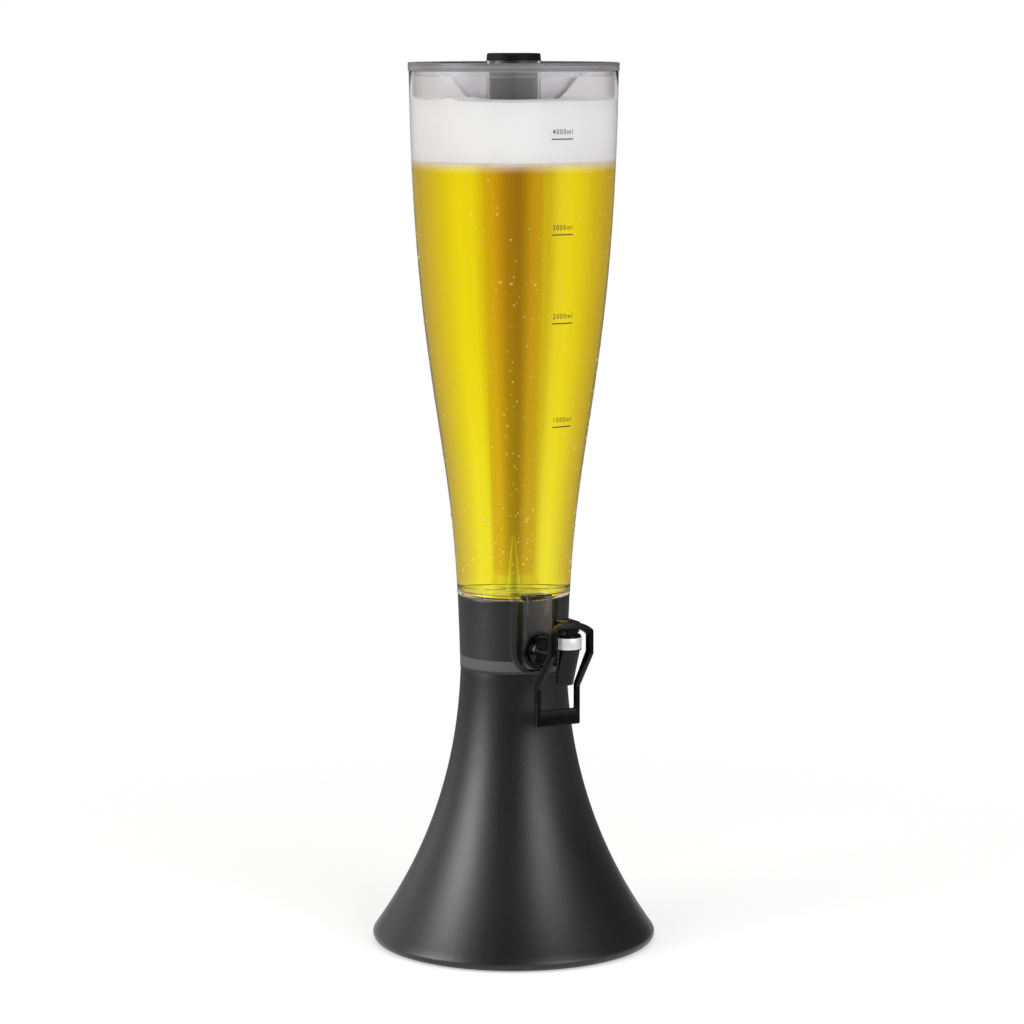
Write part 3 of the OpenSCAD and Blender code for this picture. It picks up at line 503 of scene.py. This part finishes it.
def collar_finish(r, at, facing):
    """The collar's paler faces: its inside, and its foot outside, which is as narrow as the inside's top."""
    return r < 41.0 and SEAT_Z + 2 < at.z < COLLAR_TOP_Z - 1


base_shell()
dress("base_cover", cover_matt)
dress("cover_screws", screw_steel, edge=0.15)
dress("foot_pads", pad_rubber, edge=0.5)
dress("collar", collar_satin, base_inside, edge=0.45, choose=collar_finish)
dress("collar_screws", screw_steel, edge=0.15)


# ---- Vessel, lid, ice tube and cap ----

def vessel_wall():
    """Flared clear wall; its inside is wet up to the foam."""
    outside = wall_line(vessel_curve)
    inside = wall_line(vessel_curve, WALL)
    wet_line = (wall_radius(DRINK_TOP_Z, WALL), DRINK_TOP_Z)
    foot_z = FLOOR_Z + 0.02
    profile = [(43.0, foot_z, 0.3)] + between(outside, FLOOR_Z + 1, MOUTH_Z - 1)
    profile += [(MOUTH_R, MOUTH_Z, 0.5), (MOUTH_R - WALL, MOUTH_Z, 0.5)]
    profile += reversed(between(inside, DRINK_TOP_Z + 1, MOUTH_Z - 1))
    profile += [wet_line] + list(reversed(between(inside, FLOOR_Z + 1, DRINK_TOP_Z - 1)))
    profile += [(40.6, foot_z, 0.3)]
    piece = turned("vessel_wall_moulding", profile, "vessel", "vessel_clear", vessel_clear, vessel_wet,
                   vessel_misted, bonded)

    def finish(r, at, facing):
        if at.z < FLOOR_Z + 3.6 and (r < 41.2 or facing.z < -0.6):
            return 3
        if r > wall_radius(at.z, WALL / 2):
            return 0
        return 1 if at.z < DRINK_TOP_Z else 2

    share_out(piece.data, finish)
    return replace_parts(piece, "vessel_body")


def bottom_finish(r, at, facing):
    """Faces of the vessel's bottom: clear, wet, bonded to the wall, or the sump's frosted outside."""
    if at.z > FLOOR_Z - 0.05:
        return 1 if r < 40.5 else 2
    beside = abs(at.x) < SUMP_HALF + 0.05 and SUMP_NEAR - 0.05 < -at.y < SUMP_FAR + 0.1
    if beside and at.z > SUMP_FLOOR_Z - 0.1 and facing.z > -0.9:
        return 1
    return 3 if at.z < COLLAR_TOP_Z - 1 and at.y < -12 and abs(at.x) < 14 else 0


def lid_moulding():
    """Smoke-tinted lid: a deep edge, a flat ring and a funnel down to the ice tube's seat."""
    under_z = LID_TOP_Z - 2.2
    profile = [
        (LID_R, MOUTH_Z + 0.05, 0.3), (LID_R, LID_TOP_Z, 0.8), (60.4, LID_TOP_Z, 1.2),
        (25.0, TUBE_SEAT_Z, 1.0), (20.8, TUBE_SEAT_Z, 0.4), (20.8, TUBE_SEAT_Z - 5, 0.4),
        (23.0, TUBE_SEAT_Z - 5, 0.4), (25.0, TUBE_SEAT_Z - 2.9, 1.0), (60.0, under_z - 0.8, 1.0),
        (73.2, under_z, 0.8), (73.2, MOUTH_Z - 4, 0.6), (75.4, MOUTH_Z - 4, 0.6), (75.4, MOUTH_Z + 0.05, 0.2)]
    piece = turned("lid_moulding", profile, "lid", "lid_smoke", lid_smoke, lid_edge)
    share_out(piece.data, lambda r, at, facing: r > 74.0 and at.z > MOUTH_Z)
    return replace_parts(piece, "lid")


def ice_tube_moulding():
    """Tapering ice tube: its flange, and the hollow that the spike fits. It is wet below the foam."""
    levels = [TUBE_Z + 2 + (TUBE_SEAT_Z - 7 - TUBE_Z) * k / 12 for k in range(1, 12)]
    levels = sorted(levels + [DRINK_TOP_Z])
    outside = [(tube_radius(z), z) for z in levels]
    inside = [(tube_radius(z) - TUBE_WALL, z) for z in reversed(levels)]
    bore_r = TUBE_R - TUBE_WALL
    profile = [(0.0, TUBE_HOLLOW_Z), (1.5, TUBE_HOLLOW_Z, 0.4), (4.8, TUBE_Z, 0.4)]
    profile += [(TUBE_FOOT_R, TUBE_Z, 2.0)] + outside
    profile += [(TUBE_R, TUBE_SEAT_Z - 5), (TUBE_R, TUBE_SEAT_Z), (23.9, TUBE_SEAT_Z + 0.05, 0.3),
                (23.9, TUBE_SEAT_Z + 2, 0.3), (TUBE_R, TUBE_SEAT_Z + 2, 0.5), (TUBE_R, TUBE_TOP_Z, 0.4),
                (bore_r, TUBE_TOP_Z, 0.4), (bore_r, TUBE_SEAT_Z - 5)]
    foot_z, hollow_z = TUBE_Z + TUBE_WALL, TUBE_HOLLOW_Z + TUBE_WALL
    profile += inside + [(11.7, foot_z, 1.0), (6.6, foot_z, 1.0), (3.3, hollow_z, 0.8), (0.0, hollow_z)]
    piece = turned("ice_tube_moulding", profile, "lid", "tube_clear", tube_clear, tube_wet)
    share_out(piece.data, lambda r, at, facing: at.z < DRINK_TOP_Z)
    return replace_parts(piece, "ice_tube")


def cap_moulding():
    """Cap with a hollow plug, a groove for its seal and a shallow dish in its top."""
    dish_z = CAP_TOP_Z - 0.5
    seal_z = TUBE_TOP_Z - 8
    profile = [
        (15.8, PLUG_Z, 0.3), (18.4, PLUG_Z, 0.6), (18.4, seal_z - 1.1), (16.6, seal_z - 1.1),
        (16.6, seal_z + 1.1), (18.4, seal_z + 1.1), (18.4, TUBE_TOP_Z), (20.4, TUBE_TOP_Z, 0.3),
        (19.9, CAP_TOP_Z, 2.4), (17.2, CAP_TOP_Z - 0.1, 0.8), (16.4, dish_z, 0.6), (0.0, dish_z),
        (0.0, CAP_TOP_Z - 2.6),
        (15.8, CAP_TOP_Z - 2.6, 0.8)]
    piece = turned("tube_cap_moulding", profile, "cap", "cap_black", cap_satin)
    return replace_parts(piece, "tube_cap")


vessel_wall()
lid_moulding()
ice_tube_moulding()
cap_moulding()
dress("vessel_bottom", vessel_clear, bottom_wet, bonded, sump_frosted, edge=0.4, choose=bottom_finish)
dress("cap_seal", seal_rubber, edge=0.0)


# ---- The drink ----

def drink_in_sump():
    """The drink that stands in the sump, out of the light; its far darker smoke is painted shade."""
    corner = 1.0
    near, far, half = SUMP_NEAR + 0.1, SUMP_FAR - KEEP_OFF, SUMP_HALF - KEEP_OFF
    corners = ((half, -far), (half, -near), (-half, -near), (-half, -far))
    outline = rounded([(x, y, corner) for x, y in corners])
    bottom, top = SUMP_FLOOR_Z + KEEP_OFF, FLOOR_Z
    shape = bmesh.new()
    face = shape.faces.new([shape.verts.new((x * MM, y * MM, bottom * MM)) for x, y in outline])
    raised = bmesh.ops.extrude_face_region(shape, geom=[face])
    moved = [v for v in raised["geom"] if isinstance(v, bmesh.types.BMVert)]
    bmesh.ops.translate(shape, verts=moved, vec=(0, 0, (top - bottom) * MM))
    bmesh.ops.recalc_face_normals(shape, faces=shape.faces)
    mesh = bpy.data.meshes.new("drink_in_sump")
    shape.to_mesh(mesh)
    shape.free()
    return new_piece("drink_in_sump", mesh, "vessel", None, drink_painted_shade)


def drink_body():
    """The drink from the vessel's floor up to its foam."""
    inset = WALL + KEEP_OFF
    wall = between(wall_line(vessel_curve, inset), FLOOR_Z + 5, DRINK_TOP_Z - 1)
    ring_top = FLOOR_Z + 3.6 + KEEP_OFF
    bottom = [(0.0, FLOOR_Z + KEEP_OFF), (38.5, FLOOR_Z + KEEP_OFF), (38.5, ring_top), (40.6, ring_top)]
    top = [(wall_radius(DRINK_TOP_Z, inset), DRINK_TOP_Z), (0.0, DRINK_TOP_Z)]
    return turned("drink_body", bottom + wall + top, "vessel", None, drink_amber)


def drink_in_tube():
    """What has seeped into the ice tube. Its darker tone is painted shade for the dark band down the middle,
    set for how it shows through the drink round it.
    """
    inset = TUBE_WALL + KEEP_OFF
    bottom, top = TUBE_Z + 4, DRINK_TOP_Z - 0.3
    hollow_z = TUBE_HOLLOW_Z + 2.6
    profile = [(0.0, hollow_z), (2.6, hollow_z, 0.4), (5.9, bottom, 0.6), (11.1, bottom, 1.0)]
    profile += [(tube_radius(z) - inset, z) for z in (bottom + 6, (bottom + top) / 2, top)] + [(0.0, top)]
    return turned("drink_in_tube", profile, "lid", None, drink_core_painted_shade)


def foam_body():
    """The head of foam, between the vessel's wall, the ice tube and the lid's funnel."""
    rng = random.Random(11)
    humps = []              # where each stands round the axis, its width in radians and its rise
    for _ in range(16):
        humps.append((rng.uniform(0, 2 * math.pi), rng.uniform(0.12, 0.5), rng.uniform(-0.7, 0.7)))
    peaks = [(math.radians(turn), width, rise) for turn, width, rise in FOAM_PEAKS]

    def wave(r, a, z):
        if z < FOAM_TOP_Z - 1.5:
            return 0.0
        lift = 0.0
        for at, width, rise in humps + peaks:
            gap = math.atan2(math.sin(a - at), math.cos(a - at))
            lift += rise * math.exp(-(gap / width) ** 2)
        return lift * min(1.0, (r - 36.0) / 12.0)

    inset = WALL - 0.25
    bottom = DRINK_TOP_Z - 0.3
    outer = between(wall_line(vessel_curve, inset), DRINK_TOP_Z + 2, FOAM_TOP_Z - 4)
    top_r = wall_radius(FOAM_TOP_Z, inset)
    crown = [(top_r - k * 3.4, FOAM_TOP_Z + 0.05 * k) for k in range(12)]
    profile = rounded([(19.9, bottom, 0.3), (wall_radius(DRINK_TOP_Z, inset), bottom)] + outer + crown
                      + [(24.2, 631.6, 0.5), (20.6, 630.4, 0.3)])
    mesh = turned_mesh("foam_head", profile, wave=wave)
    return new_piece("foam_head", mesh, "vessel", None, foam_white, smooth=50.0)


def foam_fringe():
    """Bubbles that hang under the foam against the vessel's wall, thinning downwards."""
    reach = 9.0
    rows = 6
    turns = [2 * math.pi * k / TURN_STEPS for k in range(TURN_STEPS)]
    shape = bmesh.new()
    rings = []
    for row in range(rows + 1):
        z = DRINK_TOP_Z + 0.3 - reach * row / rows
        r = wall_radius(z, WALL + 0.35)
        rings.append([shape.verts.new((r * math.cos(a) * MM, r * math.sin(a) * MM, z * MM)) for a in turns])
    for above, below in zip(rings, rings[1:]):
        for k in range(TURN_STEPS):
            n = (k + 1) % TURN_STEPS
            shape.faces.new((below[k], below[n], above[n], above[k]))
    mesh = bpy.data.meshes.new("foam_fringe")
    shape.to_mesh(mesh)
    shape.free()
    return new_piece("foam_fringe", mesh, "vessel", None, foam_thinning(reach))


DROP_COUNT = 1300
DROP_FLATTEN = 0.7      # a drop's depth, to its half width
DROP_STRETCH = 1.12     # and its height
DROP_SINK = 0.12        # how far it sinks into the wall


def drop_sizes(rng, count):
    """Places and sizes of the drops: many fine ones, a few large, denser low down."""
    for _ in range(count):
        z = FLOOR_Z + 12 + (DRINK_TOP_Z - FLOOR_Z - 16) * rng.random() ** 1.15
        a = rng.uniform(0, 2 * math.pi)
        size = 0.42 + 0.4 * rng.random() ** 2
        if rng.random() < 0.08:
            size += 0.8 * rng.random()
        yield z, a, size


def drops_on_wall():
    """Condensed drops on the outside of the vessel; only their outer caps bend the light."""
    ball = bmesh.new()
    bmesh.ops.create_icosphere(ball, subdivisions=2, radius=1.0)
    corners = [v.co.copy() for v in ball.verts]
    faces = [[v.index for v in face.verts] for face in ball.faces]
    inner = [int(face.calc_center_median().x < 0.1) for face in ball.faces]
    ball.free()
    points, sides, finishes = [], [], []
    for z, a, size in drop_sizes(random.Random(29), DROP_COUNT):
        start = len(points)
        cos_a, sin_a = math.cos(a), math.sin(a)
        up = Vector((wall_radius(z + 2) - wall_radius(z - 2), 0, 4.0)).normalized()
        out = Vector((up.z, 0, -up.x))
        for corner in corners:
            local = out * corner.x * DROP_FLATTEN * size + Vector((0, 1, 0)) * corner.y * size
            local += up * corner.z * size * DROP_STRETCH
            x, y = wall_radius(z) - DROP_SINK * size + local.x, local.y
            around = (x * cos_a - y * sin_a, x * sin_a + y * cos_a, z + local.z)
            points.append(tuple(c * MM for c in around))
        sides += [[start + k for k in face] for face in faces]
        finishes += inner
    mesh = bpy.data.meshes.new("drops_on_wall")
    mesh.from_pydata(points, [], sides)
    mesh.polygons.foreach_set("material_index", finishes)
    piece = new_piece("drops_on_wall", mesh, "vessel", None, drop_water_painted_glint, bonded, smooth=90.0)
    piece.visible_transmission = False      # or the ones behind the drink show as dark dashes
    return piece


drink_body()
drink_in_sump()
drink_in_tube()
foam_body()
foam_fringe()
drops_on_wall()


# ---- Printed scale ----

SCALE_LEVELS = {4000: 613.5, 3000: 543.7, 2000: 478.1, 1000: 400.1}     # millilitres: height of the line
SCALE_TURN = math.radians(27.0)         # the scale stands this far to the left of the tap's side
SCALE_OFFSET = 35.8                     # and then this far to the right of there
SCALE_W = 16.4                          # a number's width
LINE_W, LINE_T = 17.6, 0.8
NUMBER_RISE = 3.6                       # from the line up to its number


def number_mesh(number):
    """A number in millilitres, flat, centred on the origin and scaled to the scale's width."""
    text = bpy.data.curves.new("scale_number", "FONT")
    text.body = f"{number}ml"
    text.size = 5.3
    text.space_character = 1.3
    text.offset = 0.025
    text.align_x, text.align_y = "CENTER", "BOTTOM_BASELINE"
    letters = bpy.data.objects.new("scale_number", text)
    bpy.context.scene.collection.objects.link(letters)
    view = bpy.context.evaluated_depsgraph_get()
    flat = bpy.data.meshes.new_from_object(letters.evaluated_get(view), depsgraph=view)
    bpy.data.objects.remove(letters)
    across = [v.co.x for v in flat.vertices]
    squeeze = SCALE_W / (max(across) - min(across))
    middle = (max(across) + min(across)) / 2
    for v in flat.vertices:
        v.co.x = (v.co.x - middle) * squeeze
        v.co.y += NUMBER_RISE
    return flat


def scale_marks():
    """Litre lines and their numbers, wrapped on the vessel's outside."""
    shape = bmesh.new()
    steps = 8
    for number, z in SCALE_LEVELS.items():
        start = len(shape.verts)
        flat = number_mesh(number)
        shape.from_mesh(flat)
        bpy.data.meshes.remove(flat)
        across = [LINE_W * (k / steps - 0.5) for k in range(steps + 1)]
        row = [[shape.verts.new((x, y, 0)) for x in across] for y in (-LINE_T / 2, LINE_T / 2)]
        for k in range(steps):
            shape.faces.new((row[0][k], row[0][k + 1], row[1][k + 1], row[1][k]))
        shape.verts.ensure_lookup_table()
        middle = math.asin(SCALE_OFFSET / wall_radius(z))
        for v in shape.verts[start:]:
            r = wall_radius(z + v.co.y)
            a = middle + v.co.x / r - SCALE_TURN
            out = r + 0.06
            v.co = (out * math.sin(a) * MM, -out * math.cos(a) * MM, (z + v.co.y) * MM)
    mesh = bpy.data.meshes.new("scale_marks")
    shape.to_mesh(mesh)
    shape.free()
    piece = new_piece("scale_marks", mesh, "vessel", None, scale_ink)
    piece.visible_transmission = False
    piece.visible_glossy = False
    return piece


scale_marks()


# ---- Tap and lever ----

dress("tap_body", tap_gloss, edge=0.35)
dress("tap_gasket", seal_rubber, edge=0.3)
dress("nut_gasket", seal_rubber, edge=0.0)
dress("tap_nut", tap_gloss, edge=0.4)
dress("tap_bonnet", tap_gloss, edge=0.25)
dress("stem_seal", seal_silicone, edge=0.0)
dress("chrome_band", band_chrome, edge=0.2)
dress("tap_stem", stem_acetal, edge=0.15)
dress("valve_seal", seal_silicone, edge=0.0)
dress("stem_spring", screw_steel, edge=0.0, smooth=70.0)
dress("tap_lever", lever_gloss, edge=0.5)
dress("lever_pin", screw_steel, edge=0.1)


# ---- Studio ----

AWAY = math.radians(27.0)     # the camera stands this far to the left of the tap's side
forward = Vector((math.sin(AWAY), math.cos(AWAY), 0))
right = Vector((math.cos(AWAY), -math.sin(AWAY), 0))


def studio_floor():
    """A pale table that fades into the white background."""
    shape = bmesh.new()
    bmesh.ops.create_circle(shape, cap_ends=True, segments=96, radius=1.6)
    mesh = bpy.data.meshes.new("studio_floor")
    shape.to_mesh(mesh)
    shape.free()
    floor = bpy.data.objects.new("studio_floor", mesh)
    bpy.context.scene.collection.objects.link(floor)
    material, tree, surface, output = new_material("studio_floor")
    surface.inputs["Base Color"].default_value = (0.62, 0.62, 0.62, 1)
    surface.inputs["Roughness"].default_value = 0.9
    surface.inputs["Specular IOR Level"].default_value = 0.0
    surface.inputs["Emission Color"].default_value = (1, 1, 1, 1)
    surface.inputs["Emission Strength"].default_value = 0.45
    place = add(tree, "ShaderNodeTexCoord")
    far = add(tree, "ShaderNodeVectorMath", {"operation": "LENGTH"}, i0=place.outputs["Object"])
    fade = add(tree, "ShaderNodeMapRange", {"interpolation_type": "SMOOTHSTEP"}, i0=far.outputs["Value"],
               i1=0.25, i2=0.8)
    beyond = add(tree, "ShaderNodeBsdfTransparent")
    mix = add(tree, "ShaderNodeMixShader", i0=fade.outputs[0], i1=surface.outputs[0], i2=beyond.outputs[0])
    tree.links.new(mix.outputs[0], output.inputs["Surface"])
    mesh.materials.append(material)


def softbox(name, turn, height, distance, size, power, aim_z=0.25, colour=(1, 1, 1)):
    """A soft lamp aimed at the tower, turned round it from the camera's side (+ is to the right)."""
    lamp = bpy.data.lights.new(name, "AREA")
    lamp.shape = "RECTANGLE"
    lamp.size, lamp.size_y = size
    lamp.energy = power
    lamp.color = colour
    holder = bpy.data.objects.new(name, lamp)
    bpy.context.scene.collection.objects.link(holder)
    holder.visible_glossy = False
    holder.visible_transmission = False
    a = math.radians(turn)
    spot = (-forward * math.cos(a) + right * math.sin(a)) * distance + Vector((0, 0, height))
    holder.location = spot
    aim = Vector((0, 0, aim_z)) - spot
    holder.rotation_euler = aim.to_track_quat("-Z", "Y").to_euler()


# What shines through the clear pieces, by how far to the right it stands (-1 to 1): place, red, and
# green, which blue shares
through_stops = [
    (-1.0, 0.63, 0.55), (-0.73, 0.61, 0.49), (-0.54, 0.73, 0.64), (-0.41, 0.86, 0.85), (-0.31, 0.95, 0.97),
    (-0.24, 0.89, 0.91), (-0.18, 0.69, 0.63), (-0.09, 0.66, 0.65), (-0.03, 0.38, 0.38), (0.03, 0.47, 0.47),
    (0.1, 0.79, 0.78), (0.16, 0.77, 0.73), (0.21, 0.95, 0.98), (0.3, 0.99, 1.0), (0.41, 0.84, 0.82),
    (0.54, 0.73, 0.64), (0.73, 0.61, 0.49), (1.0, 0.63, 0.55)]
# What the glossy pieces mirror, by its turn round the object from the camera's side: degrees and strength
PANEL_STRENGTH = 12.0
low_mirror = [
    (-180, 0.015), (-150, 0.02), (-126, 0.024), (-105, 0.022), (-90, 0.01), (-60, 0.008), (0, 0.008),
    (40, 0.015), (54, 0.03), (65, 0.02), (80, 0.01), (110, 0.011), (150, 0.012), (180, 0.015)]
middle_mirror = [
    (-180, 0.01), (-150, 0.03), (-135, 0.08), (-118, 0.075), (-98, 0.04), (-84, 0.2), (-72, 0.3),
    (-63, 0.29), (-50, 0.1), (-30, 0.01), (0, 0.006), (35, 0.02), (50, 0.06), (62, 0.09), (75, 0.09),
    (92, 0.05), (110, 0.015), (180, 0.006)]
high_mirror = [
    (-180, 0.008), (-150, 0.02), (-132, 0.09), (-118, 0.065), (-98, 0.045), (-84, 0.3), (-74, 0.76),
    (-63, 0.72), (-50, 0.13), (-30, 0.018), (0, 0.01), (15, 0.03), (30, 0.26), (40, 0.46), (50, 0.27),
    (65, 0.05), (82, 0.012), (110, 0.006), (180, 0.005)]


def colour_ramp(tree, factor, stops):
    """A colour that runs through the stops, each a place from 0 to 1 and its colour."""
    ramp = tree.nodes.new("ShaderNodeValToRGB")
    tree.links.new(factor, ramp.inputs[0])
    while len(ramp.color_ramp.elements) < len(stops):
        ramp.color_ramp.elements.new(0.5)
    for element, (at, colour) in zip(ramp.color_ramp.elements, stops):
        element.position, element.color = at, (*colour, 1)
    return ramp.outputs[0]


def direction_dot(tree, place, direction):
    """How far a place lies along a direction."""
    made = add(tree, "ShaderNodeVectorMath", {"operation": "DOT_PRODUCT"}, i0=place, i1=direction)
    return made.outputs["Value"]


def mirrored_light(tree, place, across, along):
    """Tall panels left and right of the camera's side, dim low down and faded out towards the top."""
    turn = math_node(tree, "ARCTAN2", across, math_node(tree, "MULTIPLY", along, -1.0))
    part = add(tree, "ShaderNodeMapRange", i0=turn, i1=-math.pi, i2=math.pi).outputs[0]
    height = direction_dot(tree, place, (0, 0, 1))
    panels = None
    for stops, start, end in ((low_mirror, 0, 0), (middle_mirror, -0.07, 0.03), (high_mirror, 0.05, 0.2)):
        ramp = colour_ramp(tree, part, [((a + 180) / 360, (v, v, v)) for a, v in stops])
        if panels:
            level = add(tree, "ShaderNodeMapRange", i0=height, i1=start, i2=end).outputs[0]
            mix = add(tree, "ShaderNodeMix", {"data_type": "RGBA"}, i0=level, i6=panels, i7=ramp)
            ramp = mix.outputs[2]
        panels = ramp
    topped = add(tree, "ShaderNodeMapRange", i0=height, i1=0.55, i2=0.8, i3=PANEL_STRENGTH,
                 i4=0.05 * PANEL_STRENGTH)
    scaled = add(tree, "ShaderNodeVectorMath", {"operation": "SCALE"}, i0=panels, Scale=topped.outputs[0])
    return scaled.outputs["Vector"]


def studio_world():
    """White to the camera; what the object mirrors and lets through are pale panels on a darker ground."""
    world = bpy.data.worlds.new("studio")
    bpy.context.scene.world = world
    world.use_nodes = True
    tree = world.node_tree
    tree.nodes.clear()
    output = tree.nodes.new("ShaderNodeOutputWorld")
    place = add(tree, "ShaderNodeTexCoord").outputs["Generated"]
    across = direction_dot(tree, place, right)
    along = direction_dot(tree, place, forward)
    part = math_node(tree, "MULTIPLY_ADD", across, 0.5, 0.5)
    stops = [(x / 2 + 0.5, (red, green, green)) for x, red, green in through_stops]
    through = colour_ramp(tree, part, stops)
    mirrored = mirrored_light(tree, place, across, along)
    path = add(tree, "ShaderNodeLightPath")
    colour = (0.62, 0.62, 0.62, 1)
    seen_by = {"Is Glossy Ray": mirrored, "Is Transmission Ray": through, "Is Camera Ray": (1, 1, 1, 1)}
    for ray, seen in seen_by.items():
        mix = add(tree, "ShaderNodeMix", {"data_type": "RGBA"}, i0=path.outputs[ray], i6=colour, i7=seen)
        colour = mix.outputs[2]
    back = add(tree, "ShaderNodeBackground", Color=colour, Strength=1.0)
    tree.links.new(back.outputs[0], output.inputs["Surface"])


def camera():
    """Stands where the photograph was taken from."""
    lens = bpy.data.cameras.new("camera")
    lens.lens, lens.sensor_width = 124.1, 36.0
    lens.shift_x = -0.00166
    lens.clip_start, lens.clip_end = 0.1, 50.0
    holder = bpy.data.objects.new("camera", lens)
    bpy.context.scene.collection.objects.link(holder)
    holder.location = -forward * 2.65 + Vector((0, 0, 0.70))
    aim = Vector((0, 0, 0.32996)) - holder.location
    holder.rotation_euler = aim.to_track_quat("-Z", "Y").to_euler()
    bpy.context.scene.camera = holder


studio_floor()
softbox("left_softbox", -60, 0.9, 1.5, (0.8, 1.2), 9.2, colour=(1.0, 0.99, 0.97))
softbox("right_softbox", 45, 0.9, 1.5, (0.8, 1.2), 8.0, colour=(0.98, 0.99, 1.0))
softbox("top_softbox", 10, 2.0, 0.7, (0.9, 0.9), 6.0)
studio_world()
camera()
scene = bpy.context.scene
scene.view_settings.view_transform = "Standard"
scene.cycles.max_bounces = 24
scene.cycles.transmission_bounces = 20
scene.cycles.transparent_max_bounces = 12
